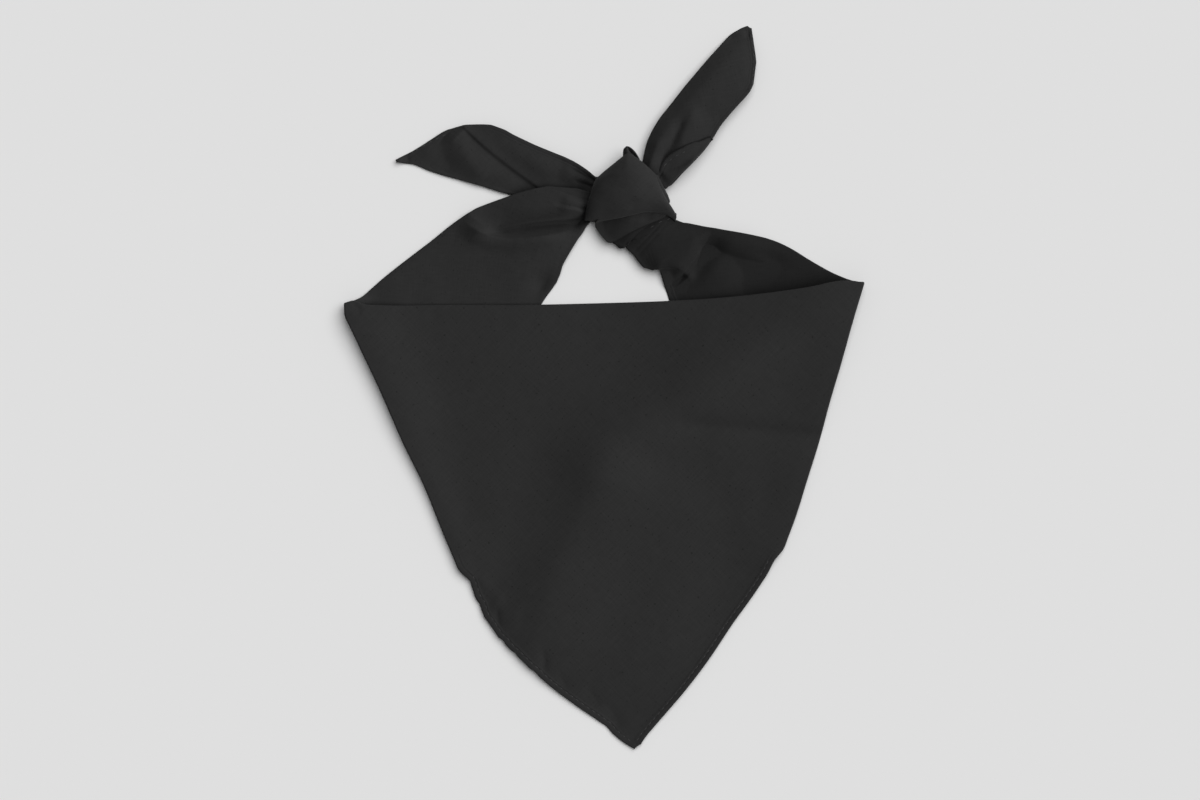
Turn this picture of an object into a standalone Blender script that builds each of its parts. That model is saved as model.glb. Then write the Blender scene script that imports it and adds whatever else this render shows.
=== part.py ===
"""A square bandana, tied in a neck loop and laid flat, front upwards.

One cloth makes everything. Its front panel ends in a point, its two sides turn under
at soft folds, and its ends run back to a knot and leave it as two free tails. Each
stretch of the cloth that shows is one solid: a wall of even thickness over its own
underside. The knot's hidden layers are one rounded solid.

Frame: z = 0 is the surface that the bandana lies on, +Y runs from the point to the
knot, +X to the right. Tables hold millimetres, and the model is in metres.
"""
import math
from collections import namedtuple

import bpy
import numpy as np
from mathutils import Vector
from mathutils.bvhtree import BVHTree

MM = 0.001

# Driving dimensions, in millimetres
WALL = 1.2             # thickness of every cloth wall
GAP = 0.3              # clearance between neighbouring stretches of the cloth
FOLD_REACH = 9.0       # how far each side fold's under layer comes back in
PUFF_WIDTH = 30.0      # over which a raised side fold sinks to the layers under it
WING_MARGIN = 4.0      # the front panel stays lifted this far past a hidden wing's edge
WING_SLOPE = 10.0      # and then comes down to the surface over this width
EDGE_LIFT = 0.4        # extra lift of the front panel's top edge over the bands
EDGE_LIFT_WIDTH = 7.0
CALM_START = 3.0       # relief of the bands starts this far above the front's top edge
CALM_WIDTH = 9.0       # and is complete after this width
KNOT_RISE = 9.2        # how far the knot's wrap bulges over its rim
KNOT_INSET = 0.9       # from the wrap's outline in to its underside's rim
KNOT_FULLNESS = 0.8    # power of the bulge's profile: smaller is fuller
CORE_CLEARANCE = 0.4   # between the wrap and the layers inside it
CORE_FOOT = 0.97       # size of the core's flat foot against its plan
FLAP_CLEARANCE = 0.4   # between the turned-over hem and the tail under it
FOLD_SPREAD = 2.0      # a fold's relief ends this many of its widths from its line
HUMP_REACH = 0.5       # power that keeps a strip's folds high close up to its edges
STEEPEST = 0.55        # a wall thickens no further where its normal's rise is less
SHARP_ANGLE = 50.0     # degrees between faces, past which an edge is shaded sharp
SEARCH_TOP = 50.0      # rays that look for a surface start at this height
SEARCH_NEAR = 9.0      # height near which the closest surface is looked for instead

# Mesh density
Density = namedtuple("Density", "rows columns")
BAND_LEFT_MESH = Density(rows=30, columns=13)
BAND_RIGHT_MESH = Density(rows=36, columns=17)
TAIL_LEFT_MESH = Density(rows=27, columns=10)
TAIL_RIGHT_MESH = Density(rows=27, columns=9)
FLAP_MESH = Density(rows=13, columns=5)
SIDE_FOLD_MESH = Density(rows=11, columns=5)
LOOP_STATIONS = 11
BIB_ROWS = 24
BIB_COLUMNS_LEFT = 19
BIB_COLUMNS_RIGHT = 17
RELAX_PASSES = 60      # that even out the front panel's grid
ROLL_STEPS = 6         # round one side fold
KNOT_STEPS = 14        # across the knot's wrap, each way
CORE_STEP = 3          # the core starts this many steps inside the wrap
FOLD_STATIONS = 25     # along a fold's line

# Colour of each stretch, as a grey
SHADES = {
    "bib": 0.030,
    "band_left": 0.028,
    "band_right": 0.028,
    "tail_left": 0.029,
    "tail_right": 0.029,
    "tail_right_flap": 0.031,
    "knot_core": 0.026,
    "knot_wrap": 0.030,
    "knot_side_fold": 0.028,
    "knot_loop": 0.027,
}
ROUGHNESS = 0.9

Edge = namedtuple("Edge", "x y")
SideFold = namedtuple("SideFold", "x y radius")
Rim = namedtuple("Rim", "x y z")
LoopLevel = namedtuple("LoopLevel", "z tuck")
# A section runs from its outer to its inner edge: their places and heights, how far its
# middle arches up, and how far its middle bows on along the strip.
Section = namedtuple("Section", "ox oy ix iy oz iz arch bow")
# A fold is a ridge, or a valley where its height is negative, along a bent line.
Fold = namedtuple("Fold", "x0 y0 xm ym x1 y1 height width")

# Front panel: the side folds' outlines with the radius inside the fold, top to bottom
LEFT_FOLD = (
    SideFold(x=-116.8, y=37.4, radius=2.8),
    SideFold(x=-116.8, y=33.8, radius=2.8),
    SideFold(x=-112.6, y=24.0, radius=2.6),
    SideFold(x=-100.4, y=-2.2, radius=2.1),
    SideFold(x=-90.5, y=-24.8, radius=1.7),
    SideFold(x=-80.9, y=-44.5, radius=1.3),
    SideFold(x=-72.9, y=-64.4, radius=0.9),
    SideFold(x=-65.5, y=-81.8, radius=0.6),
)
RIGHT_FOLD = (
    SideFold(x=116.9, y=46.6, radius=2.0),
    SideFold(x=112.1, y=30.6, radius=1.8),
    SideFold(x=106.9, y=11.7, radius=1.5),
    SideFold(x=101.4, y=-7.2, radius=1.2),
    SideFold(x=96.8, y=-24.5, radius=1.0),
    SideFold(x=91.6, y=-41.0, radius=0.8),
    SideFold(x=85.8, y=-59.5, radius=0.6),
    SideFold(x=80.9, y=-72.4, radius=0.6),
)
# Front panel: folded top edge from left to right, between the side folds
TOP_EDGE = (
    Edge(x=-110.0, y=37.9),
    Edge(x=-97.0, y=36.9),
    Edge(x=-76.0, y=37.1),
    Edge(x=-38.0, y=37.1),
    Edge(x=0.0, y=38.0),
    Edge(x=30.0, y=39.0),
    Edge(x=55.0, y=40.6),
    Edge(x=75.0, y=42.8),
    Edge(x=92.0, y=45.2),
    Edge(x=107.0, y=48.0),
)
# Front panel: the two hems, each from its side fold to the point
LEFT_HEM = (
    Edge(x=-59.4, y=-90.2),
    Edge(x=-54.0, y=-102.3),
    Edge(x=-46.6, y=-113.0),
    Edge(x=-34.0, y=-125.5),
    Edge(x=-24.5, y=-134.1),
    Edge(x=-10.6, y=-144.5),
    Edge(x=0.5, y=-152.3),
    Edge(x=7.4, y=-158.8),
)
POINT = Edge(x=15.0, y=-163.3)
RIGHT_HEM = (
    Edge(x=75.4, y=-80.4),
    Edge(x=67.3, y=-93.2),
    Edge(x=57.8, y=-106.4),
    Edge(x=47.9, y=-121.3),
    Edge(x=37.6, y=-135.0),
    Edge(x=25.0, y=-149.8),
    Edge(x=18.0, y=-158.2),
)
BIB_FOLDS = (
    Fold(x0=98.0, y0=34.0, xm=52.0, ym=12.0, x1=8.0, y1=-42.0, height=1.5, width=21.0),
    Fold(x0=-22.0, y0=6.0, xm=-10.0, ym=-40.0, x1=-22.0, y1=-88.0, height=0.9, width=17.0),
    Fold(x0=94.0, y0=-24.0, xm=68.0, ym=-20.0, x1=44.0, y1=-23.0, height=0.8, width=9.0),
    Fold(x0=44.0, y0=-58.0, xm=32.0, ym=-88.0, x1=24.0, y1=-112.0, height=0.8, width=14.0),
    Fold(x0=-44.0, y0=-102.0, xm=-36.0, ym=-93.0, x1=-24.0, y1=-82.0, height=0.9, width=7.0),
)

# Left band: its wing under the front panel, then the strip to the knot
LEFT_BAND = (
    Section(ox=-100.0, oy=48.6, ix=-52.0, iy=-50.0, oz=0.0, iz=0.0, arch=0.0, bow=0.0),
    Section(ox=-90.0, oy=56.6, ix=-44.5, iy=-22.0, oz=0.0, iz=0.0, arch=0.0, bow=0.0),
    Section(ox=-78.1, oy=65.7, ix=-36.2, iy=8.0, oz=0.0, iz=0.0, arch=0.6, bow=0.0),
    Section(ox=-64.8, oy=76.0, ix=-28.4, iy=37.0, oz=0.0, iz=0.0, arch=2.0, bow=0.0),
    Section(ox=-56.7, oy=81.0, ix=-23.4, iy=44.4, oz=0.0, iz=0.2, arch=3.0, bow=0.0),
    Section(ox=-49.4, oy=83.8, ix=-20.4, iy=48.9, oz=0.6, iz=0.5, arch=3.6, bow=0.0),
    Section(ox=-42.0, oy=86.5, ix=-18.8, iy=54.3, oz=1.7, iz=0.9, arch=3.9, bow=0.0),
    Section(ox=-34.4, oy=88.7, ix=-15.7, iy=60.0, oz=2.3, iz=1.2, arch=3.6, bow=0.0),
    Section(ox=-27.7, oy=90.2, ix=-12.2, iy=65.8, oz=2.6, iz=1.3, arch=3.2, bow=0.0),
    Section(ox=-17.8, oy=90.7, ix=-9.0, iy=70.3, oz=3.1, iz=1.3, arch=2.6, bow=0.0),
    Section(ox=-11.0, oy=89.2, ix=-7.6, iy=73.0, oz=3.2, iz=1.3, arch=2.3, bow=-0.6),
    Section(ox=-5.2, oy=87.4, ix=-5.2, iy=75.6, oz=3.2, iz=1.3, arch=2.1, bow=-1.0),
)
LEFT_BAND_FOLDS = (
    Fold(x0=-59.0, y0=74.5, xm=-53.0, ym=66.0, x1=-40.0, y1=67.5, height=1.6, width=4.0),
    Fold(x0=-45.9, y0=70.5, xm=-29.0, ym=72.5, x1=-9.0, y1=75.0, height=-3.2, width=3.0),
    Fold(x0=-36.0, y0=79.0, xm=-25.0, ym=81.0, x1=-13.0, y1=80.0, height=0.6, width=4.0),
    Fold(x0=-28.0, y0=47.0, xm=-25.0, ym=55.0, x1=-22.0, y1=62.0, height=-1.0, width=5.0),
)

# Right band: its wing under the front panel, then the strip that pleats into the knot
RIGHT_BAND = (
    Section(ox=102.4, oy=51.8, ix=66.0, iy=-50.0, oz=0.0, iz=0.0, arch=0.0, bow=0.0),
    Section(ox=92.3, oy=57.5, ix=56.5, iy=-28.0, oz=0.0, iz=0.0, arch=0.0, bow=0.0),
    Section(ox=83.0, oy=63.2, ix=47.0, iy=-5.0, oz=0.0, iz=0.0, arch=0.0, bow=0.0),
    Section(ox=75.0, oy=66.6, ix=38.0, iy=18.0, oz=0.0, iz=0.0, arch=1.2, bow=0.0),
    Section(ox=66.5, oy=68.7, ix=29.4, iy=38.6, oz=0.2, iz=0.0, arch=2.6, bow=0.0),
    Section(ox=60.0, oy=69.9, ix=26.5, iy=46.8, oz=0.4, iz=0.8, arch=3.2, bow=0.0),
    Section(ox=54.0, oy=70.9, ix=23.6, iy=52.3, oz=0.5, iz=1.6, arch=3.4, bow=0.0),
    Section(ox=49.5, oy=71.7, ix=20.0, iy=52.1, oz=0.6, iz=2.0, arch=3.4, bow=0.0),
    Section(ox=46.0, oy=72.3, ix=15.2, iy=55.2, oz=0.6, iz=2.2, arch=3.4, bow=0.0),
    Section(ox=42.5, oy=73.0, ix=10.2, iy=61.9, oz=0.6, iz=2.2, arch=3.4, bow=0.0),
    Section(ox=39.0, oy=73.7, ix=5.0, iy=63.6, oz=0.7, iz=1.8, arch=3.6, bow=0.3),
    Section(ox=36.0, oy=74.2, ix=-0.6, iy=66.6, oz=0.7, iz=1.5, arch=3.8, bow=0.6),
    Section(ox=33.3, oy=74.6, ix=-4.8, iy=73.0, oz=0.8, iz=1.2, arch=4.0, bow=1.6),
    Section(ox=29.5, oy=77.0, ix=-3.6, iy=76.0, oz=0.8, iz=1.2, arch=4.0, bow=2.6),
)
RIGHT_BAND_FOLDS = (
    Fold(x0=49.5, y0=64.2, xm=41.0, ym=50.0, x1=30.2, y1=42.8, height=-2.8, width=3.2),
    Fold(x0=49.5, y0=64.2, xm=58.0, ym=60.0, x1=67.3, y1=56.7, height=-1.4, width=4.5),
    Fold(x0=47.5, y0=67.5, xm=60.0, ym=65.5, x1=74.0, y1=62.1, height=0.9, width=3.0),
    Fold(x0=77.3, y0=64.5, xm=74.5, ym=56.0, x1=64.6, y1=46.0, height=-1.2, width=4.0),
    Fold(x0=38.0, y0=51.0, xm=33.0, ym=47.0, x1=29.0, y1=43.0, height=1.6, width=3.0),
    Fold(x0=4.3, y0=65.4, xm=13.0, ym=69.6, x1=23.2, y1=76.2, height=-1.9, width=2.0),
    Fold(x0=10.3, y0=63.8, xm=15.3, ym=68.6, x1=22.5, y1=74.5, height=-1.1, width=1.7),
)

# Left tail: from its corner to the knot, upper edge first
LEFT_TAIL = (
    Section(ox=-94.0, oy=102.6, ix=-93.2, iy=100.8, oz=0.0, iz=0.0, arch=0.0, bow=0.0),
    Section(ox=-88.0, oy=105.3, ix=-86.6, iy=100.5, oz=0.0, iz=0.0, arch=0.0, bow=0.0),
    Section(ox=-79.2, oy=110.7, ix=-79.0, iy=97.6, oz=0.0, iz=0.0, arch=0.4, bow=0.0),
    Section(ox=-71.5, oy=115.3, ix=-70.0, iy=94.8, oz=0.2, iz=0.0, arch=1.0, bow=0.0),
    Section(ox=-64.0, oy=117.9, ix=-61.0, iy=92.1, oz=0.6, iz=0.0, arch=1.4, bow=0.0),
    Section(ox=-56.5, oy=118.4, ix=-51.0, iy=89.3, oz=1.2, iz=0.0, arch=1.6, bow=0.0),
    Section(ox=-48.5, oy=117.7, ix=-42.0, iy=86.8, oz=1.6, iz=0.0, arch=1.6, bow=0.0),
    Section(ox=-40.5, oy=113.6, ix=-33.5, iy=85.8, oz=1.8, iz=0.0, arch=1.5, bow=0.0),
    Section(ox=-31.0, oy=109.1, ix=-26.0, iy=85.8, oz=1.9, iz=0.0, arch=1.5, bow=0.0),
    Section(ox=-21.5, oy=105.1, ix=-19.0, iy=86.2, oz=2.0, iz=0.0, arch=1.5, bow=0.0),
    Section(ox=-13.6, oy=101.6, ix=-12.8, iy=86.6, oz=2.0, iz=0.0, arch=1.5, bow=0.0),
    Section(ox=-8.0, oy=98.0, ix=-8.0, iy=86.8, oz=2.0, iz=0.0, arch=1.5, bow=0.0),
    Section(ox=-2.8, oy=94.4, ix=-3.6, iy=88.2, oz=2.0, iz=0.0, arch=1.4, bow=0.0),
)
LEFT_TAIL_FOLDS = (
    Fold(x0=-61.0, y0=116.0, xm=-50.0, ym=107.0, x1=-29.0, y1=91.5, height=-1.8, width=3.2),
    Fold(x0=-70.0, y0=110.5, xm=-59.0, ym=101.0, x1=-46.0, y1=92.5, height=1.2, width=4.0),
    Fold(x0=-33.0, y0=101.5, xm=-22.0, ym=98.0, x1=-8.0, y1=94.5, height=1.0, width=2.8),
)

# Right tail: from the knot to its hemmed end, left edge first
RIGHT_TAIL = (
    Section(ox=16.6, oy=101.4, ix=27.4, iy=89.4, oz=2.8, iz=1.8, arch=0.8, bow=0.0),
    Section(ox=17.4, oy=104.4, ix=30.0, iy=90.6, oz=3.0, iz=2.2, arch=1.2, bow=0.0),
    Section(ox=18.8, oy=109.9, ix=34.6, iy=95.4, oz=3.6, iz=3.2, arch=2.2, bow=0.0),
    Section(ox=21.1, oy=115.0, ix=39.6, iy=100.4, oz=4.2, iz=4.0, arch=2.6, bow=0.0),
    Section(ox=24.6, oy=120.8, ix=44.6, iy=105.8, oz=4.8, iz=4.4, arch=2.4, bow=0.0),
    Section(ox=29.6, oy=127.2, ix=48.6, iy=111.2, oz=5.2, iz=4.6, arch=2.0, bow=0.0),
    Section(ox=35.4, oy=134.6, ix=52.8, iy=118.0, oz=5.2, iz=4.6, arch=1.8, bow=0.0),
    Section(ox=41.2, oy=141.6, ix=59.4, iy=125.8, oz=4.8, iz=4.2, arch=1.8, bow=0.0),
    Section(ox=46.6, oy=147.9, ix=66.2, iy=133.8, oz=4.2, iz=3.6, arch=1.8, bow=0.0),
    Section(ox=51.4, oy=153.2, ix=68.6, iy=141.6, oz=3.4, iz=2.8, arch=1.6, bow=0.0),
    Section(ox=55.6, oy=157.7, ix=68.2, iy=149.4, oz=2.4, iz=1.8, arch=1.0, bow=0.0),
    Section(ox=60.6, oy=161.5, ix=67.2, iy=156.4, oz=1.2, iz=0.8, arch=0.4, bow=0.0),
    Section(ox=65.0, oy=163.3, ix=66.4, iy=162.2, oz=0.0, iz=0.0, arch=0.0, bow=0.0),
)
RIGHT_TAIL_FOLDS = (
    Fold(x0=27.0, y0=117.0, xm=26.0, ym=108.0, x1=22.5, y1=99.0, height=1.2, width=4.0),
    Fold(x0=36.5, y0=119.0, xm=31.0, ym=112.0, x1=27.0, y1=103.0, height=-1.3, width=3.5),
)

# Turned-over hem on the right tail: its free edge, then the fold at the tail's edge
TAIL_FLAP = (
    Section(ox=24.6, oy=97.4, ix=29.4, iy=90.6, oz=0.0, iz=0.0, arch=0.0, bow=0.0),
    Section(ox=27.0, oy=102.0, ix=34.4, iy=95.8, oz=0.0, iz=0.0, arch=0.3, bow=0.0),
    Section(ox=30.4, oy=104.9, ix=38.4, iy=99.8, oz=0.0, iz=0.0, arch=0.5, bow=0.0),
    Section(ox=34.4, oy=107.1, ix=42.2, iy=103.8, oz=0.0, iz=0.0, arch=0.5, bow=0.0),
    Section(ox=39.0, oy=109.5, ix=45.6, iy=107.6, oz=0.0, iz=0.0, arch=0.4, bow=0.0),
    Section(ox=44.4, oy=111.0, ix=48.0, iy=111.0, oz=0.0, iz=0.0, arch=0.2, bow=0.0),
    Section(ox=49.0, oy=113.6, ix=49.6, iy=113.4, oz=0.0, iz=0.0, arch=0.0, bow=0.0),
)

# Knot's wrap: its rim, as four edges that share their corners
WRAP_LOW = (
    Rim(x=-8.1, y=73.5, z=3.6),
    Rim(x=-3.5, y=73.9, z=4.8),
    Rim(x=2.0, y=74.3, z=6.0),
    Rim(x=9.0, y=75.8, z=6.9),
    Rim(x=16.0, y=77.6, z=7.3),
    Rim(x=22.5, y=78.2, z=7.0),
    Rim(x=28.8, y=76.8, z=5.2),
    Rim(x=32.6, y=75.0, z=3.6),
)
WRAP_TOP = (
    Rim(x=-4.0, y=94.3, z=5.6),
    Rim(x=1.6, y=99.0, z=4.6),
    Rim(x=7.4, y=103.7, z=5.0),
    Rim(x=10.4, y=106.0, z=5.6),
    Rim(x=13.2, y=103.5, z=5.6),
    Rim(x=18.0, y=101.0, z=6.0),
    Rim(x=23.4, y=97.3, z=6.4),
)
WRAP_LEFT = (
    Rim(x=-8.1, y=73.5, z=3.6),
    Rim(x=-8.9, y=77.5, z=6.0),
    Rim(x=-8.4, y=81.5, z=6.9),
    Rim(x=-7.0, y=86.3, z=6.4),
    Rim(x=-4.0, y=94.3, z=5.6),
)
WRAP_RIGHT = (
    Rim(x=32.6, y=75.0, z=3.6),
    Rim(x=31.0, y=78.8, z=4.2),
    Rim(x=27.9, y=82.0, z=5.0),
    Rim(x=24.6, y=87.2, z=5.6),
    Rim(x=22.9, y=91.0, z=6.0),
    Rim(x=23.4, y=97.3, z=6.4),
)
# Small fold beside the wrap: the wrap's side, then its own round edge
SIDE_FOLD = (
    Section(ox=25.0, oy=96.0, ix=24.7, iy=95.2, oz=6.2, iz=6.6, arch=0.1, bow=0.0),
    Section(ox=26.4, oy=92.2, ix=24.1, iy=91.6, oz=5.2, iz=6.8, arch=0.6, bow=0.0),
    Section(ox=28.2, oy=88.6, ix=25.0, iy=88.2, oz=4.4, iz=6.6, arch=1.0, bow=0.0),
    Section(ox=29.6, oy=85.4, ix=27.4, iy=84.8, oz=3.4, iz=5.6, arch=1.0, bow=0.0),
    Section(ox=30.2, oy=83.2, ix=29.3, iy=82.8, oz=3.0, iz=4.6, arch=0.2, bow=0.0),
)
# Loop on top of the knot: its outline from above, then how far it tucks in at each height
LOOP = (
    Edge(x=8.3, y=106.2),
    Edge(x=8.9, y=108.0),
    Edge(x=10.3, y=108.6),
    Edge(x=11.9, y=107.9),
    Edge(x=13.9, y=105.9),
    Edge(x=15.7, y=103.9),
)
LOOP_LEVELS = (
    LoopLevel(z=3.4, tuck=0.4),
    LoopLevel(z=5.0, tuck=0.2),
    LoopLevel(z=6.6, tuck=0.0),
    LoopLevel(z=8.2, tuck=0.0),
    LoopLevel(z=9.6, tuck=0.3),
)


def remove_all_objects():
    for item in list(bpy.data.objects):
        bpy.data.objects.remove(item, do_unlink=True)


def columns(rows):
    """The rows of a table as an array, a row for each station."""
    return np.array([list(row) for row in rows], dtype=float)


def chord_lengths(points):
    """Distance along a run of points, from 0 to 1."""
    steps = np.linalg.norm(np.diff(points, axis=0), axis=1)
    run = np.concatenate(([0.0], np.cumsum(steps)))
    return run / run[-1]


def smooth(knots, values, at):
    """Cubic curve through a table's values, each weighed by its distance to the next."""
    slopes = np.gradient(values, knots, axis=0)
    cell = np.clip(np.searchsorted(knots, at, side="right") - 1, 0, len(knots) - 2)
    width = knots[cell + 1] - knots[cell]
    t = ((at - knots[cell]) / width)[:, None]
    width = width[:, None]
    start = (1 + 2 * t) * (1 - t) ** 2 * values[cell] + t * (1 - t) ** 2 * width * slopes[cell]
    end = t ** 2 * (3 - 2 * t) * values[cell + 1] + t ** 2 * (t - 1) * width * slopes[cell + 1]
    return start + end


def curve(points, at):
    """Points at the shares `at` of the smooth curve through `points`."""
    return smooth(chord_lengths(points[:, :2]), points, at)


def ease(value):
    """0 below 0, 1 above 1, and level at both ends."""
    t = np.clip(value, 0.0, 1.0)
    return t * t * (3.0 - 2.0 * t)


def fold_relief(folds, x, y):
    """Height that a table of folds adds at x, y."""
    height = np.zeros_like(x)
    for fold in folds:
        nearest = np.full_like(x, np.inf)
        for t in np.linspace(0.0, 1.0, FOLD_STATIONS):
            px = (1 - t) ** 2 * fold.x0 + 2 * t * (1 - t) * fold.xm + t ** 2 * fold.x1
            py = (1 - t) ** 2 * fold.y0 + 2 * t * (1 - t) * fold.ym + t ** 2 * fold.y1
            nearest = np.minimum(nearest, np.hypot(x - px, y - py))
        inside = 1.0 - (nearest / (fold.width * FOLD_SPREAD)) ** 2
        height += fold.height * np.clip(inside, 0.0, 1.0) ** 3
    return height


def distance_outside(outline, x, y):
    """How far x, y lies outside a closed outline, and 0 inside it."""
    inside = np.zeros(x.shape, dtype=bool)
    distance = np.full(x.shape, np.inf)
    for (ax, ay), (bx, by) in zip(outline, np.roll(outline, -1, axis=0)):
        run_x = bx - ax
        run_y = by - ay
        length = max(run_x ** 2 + run_y ** 2, 1e-12)
        t = np.clip(((x - ax) * run_x + (y - ay) * run_y) / length, 0.0, 1.0)
        distance = np.minimum(distance, np.hypot(x - ax - t * run_x, y - ay - t * run_y))
        if ay != by:
            crosses = ((ay > y) != (by > y)) & (x < run_x * (y - ay) / run_y + ax)
            inside ^= crosses
    return np.where(inside, 0.0, distance)


def grid_normals(grid):
    """Unit normals of a grid of points, on the side that its rows and columns turn to."""
    normals = np.cross(np.gradient(grid, axis=1), np.gradient(grid, axis=0))
    return normals / np.linalg.norm(normals, axis=2, keepdims=True)


def over_surface(under, thickness):
    """The upper face of a wall that stands on a height field, kept off itself in folds."""
    normals = grid_normals(under)
    if normals[..., 2].mean() < 0:
        normals = -normals
    over = under.copy()
    over[..., 2] += thickness / np.clip(normals[..., 2], STEEPEST, 1.0)
    return over


def wall_mesh(under, over):
    """Vertices and faces of the closed wall between two grids of the same size."""
    rows, cols = under.shape[:2]
    count = rows * cols
    index = np.arange(count).reshape(rows, cols)
    faces = []
    for i in range(rows - 1):
        for j in range(cols - 1):
            a, b = index[i, j:j + 2]
            d, c = index[i + 1, j:j + 2]
            faces.append((a, b, c, d))
            faces.append((a + count, d + count, c + count, b + count))
    rim = list(index[0, :]) + list(index[1:, -1]) + list(index[-1, -2::-1]) + list(index[-2:0:-1, 0])
    for a, b in zip(rim, rim[1:] + rim[:1]):
        faces.append((a, a + count, b + count, b))
    vertices = np.concatenate((under.reshape(-1, 3), over.reshape(-1, 3)))
    return vertices, [tuple(int(corner) for corner in face) for face in faces]


def signed_volume(vertices, faces):
    """Six times the volume inside a closed mesh, negative when it is inside out."""
    total = 0.0
    for face in faces:
        first = vertices[face[0]]
        for b, c in zip(face[1:], face[2:]):
            total += float(np.dot(first, np.cross(vertices[b], vertices[c])))
    return total


def cloth_material(name):
    """Dark matt cotton for one stretch."""
    shade = SHADES[name]
    material = bpy.data.materials.new(name + "_cloth")
    material.use_nodes = True
    surface = material.node_tree.nodes["Principled BSDF"]
    surface.inputs["Base Color"].default_value = (shade, shade, shade, 1.0)
    surface.inputs["Roughness"].default_value = ROUGHNESS
    surface.inputs["Metallic"].default_value = 0.0
    return material


def add_wall(name, under, over, parent):
    """One stretch of the cloth, as a named object with its own material."""
    vertices, faces = wall_mesh(under, over)
    if signed_volume(vertices, faces) < 0:
        faces = [face[::-1] for face in faces]
    mesh = bpy.data.meshes.new(name)
    mesh.from_pydata((vertices * MM).tolist(), [], faces)
    mesh.shade_smooth()
    mesh.set_sharp_from_angle(angle=math.radians(SHARP_ANGLE))
    mesh.materials.append(cloth_material(name))
    item = bpy.data.objects.new(name, mesh)
    item.parent = parent
    bpy.context.scene.collection.objects.link(item)
    return item


def whole_rise(x, y):
    """Rise share of a strip that nothing lies over."""
    return 1.0


def strip_under(sections, density, folds, rise_share):
    """Underside of a strip of cloth, from its table of sections and its folds.

    rise_share(x, y) is the share of the strip's height and relief that is left where
    another stretch lies over it.
    """
    table = columns(sections)
    middles = (table[:, 0:2] + table[:, 2:4]) / 2
    stations = smooth(chord_lengths(middles), table, np.linspace(0.0, 1.0, density.rows))
    across = np.linspace(0.0, 1.0, density.columns)[None, :]
    ox, oy, ix, iy, oz, iz, arch, bow = (column[:, None] for column in stations.T)
    width = np.hypot(ix - ox, iy - oy)
    hump = np.sin(math.pi * across)
    x = ox + (ix - ox) * across + bow * hump * (iy - oy) / width
    y = oy + (iy - oy) * across - bow * hump * (ix - ox) / width
    z = oz + (iz - oz) * across + arch * hump + fold_relief(folds, x, y) * hump ** HUMP_REACH
    return np.stack((x, y, np.maximum(z, 0.0) * rise_share(x, y)), axis=2)


def fold_axis(fold):
    """Direction in plan from a side fold in towards the middle of the front panel."""
    run = fold[-1, :2] - fold[0, :2]
    inward = np.array((-run[1], run[0])) / np.linalg.norm(run)
    return inward if inward[0] * fold[0, 0] < 0 else -inward


def fold_return(fold, share, extra):
    """Straight line where a side fold's under layer ends and its wing begins."""
    inward = fold_axis(fold)
    start = fold[0, :2] + inward * (FOLD_REACH + extra)
    end = fold[-1, :2] + inward * (FOLD_REACH + extra)
    return start + (end - start) * share[:, None]


def wing_sections(fold_table, sections):
    """A band's sections, with the first one along the end of its side fold's return."""
    line = fold_return(columns(fold_table), np.array((0.0, 1.0)), GAP)
    first = Section(*line[0], *line[1], 0.0, 0.0, 0.0, 0.0)
    return (first,) + sections


def side_roll(fold, share, over):
    """Grid of one side fold, from the end of its under layer round to the top layer."""
    inward = fold_axis(fold)
    stations = curve(fold, share)
    radius = stations[:, 2]
    centre = stations[:, :2] + inward * (WALL + radius)[:, None]
    size = radius + (WALL if over else 0.0)
    end = fold_return(fold, share, 0.0)
    layers = [np.column_stack((end, np.full(len(share), 0.0 if over else WALL)))]
    for step in range(ROLL_STEPS + 1):
        angle = math.pi * (step / ROLL_STEPS - 0.5)
        plan = centre - inward * (size * math.cos(angle))[:, None]
        height = WALL + radius + size * math.sin(angle)
        layers.append(np.column_stack((plan, height)))
    return np.stack(layers, axis=1)


def fold_outline(fold):
    """Outline in plan of a side fold with its under layer."""
    return np.concatenate((fold[:, :2], fold_return(fold, np.array((1.0, 0.0)), 0.0)))


def coons_patch(low, high, left, right):
    """Grid inside four edges that share their corners; rows run from low to high."""
    v = chord_lengths(left[:, :2])[:, None, None]
    v = (v + chord_lengths(right[:, :2])[:, None, None]) / 2
    u = (chord_lengths(low[:, :2])[None, :, None] + chord_lengths(high[:, :2])[None, :, None]) / 2
    along = (1 - v) * low[None] + v * high[None]
    across = (1 - u) * left[:, None] + u * right[:, None]
    corners = ((1 - u) * (1 - v) * low[0] + u * (1 - v) * low[-1]
               + (1 - u) * v * high[0] + u * v * high[-1])
    return along + across - corners


def relaxed(grid):
    """The grid with its inner points evened out between its fixed edges."""
    for _ in range(RELAX_PASSES):
        beside = grid[1:-1, :-2] + grid[1:-1, 2:]
        along = grid[:-2, 1:-1] + grid[2:, 1:-1]
        grid[1:-1, 1:-1] = (beside + along) / 4
    return grid


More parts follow.
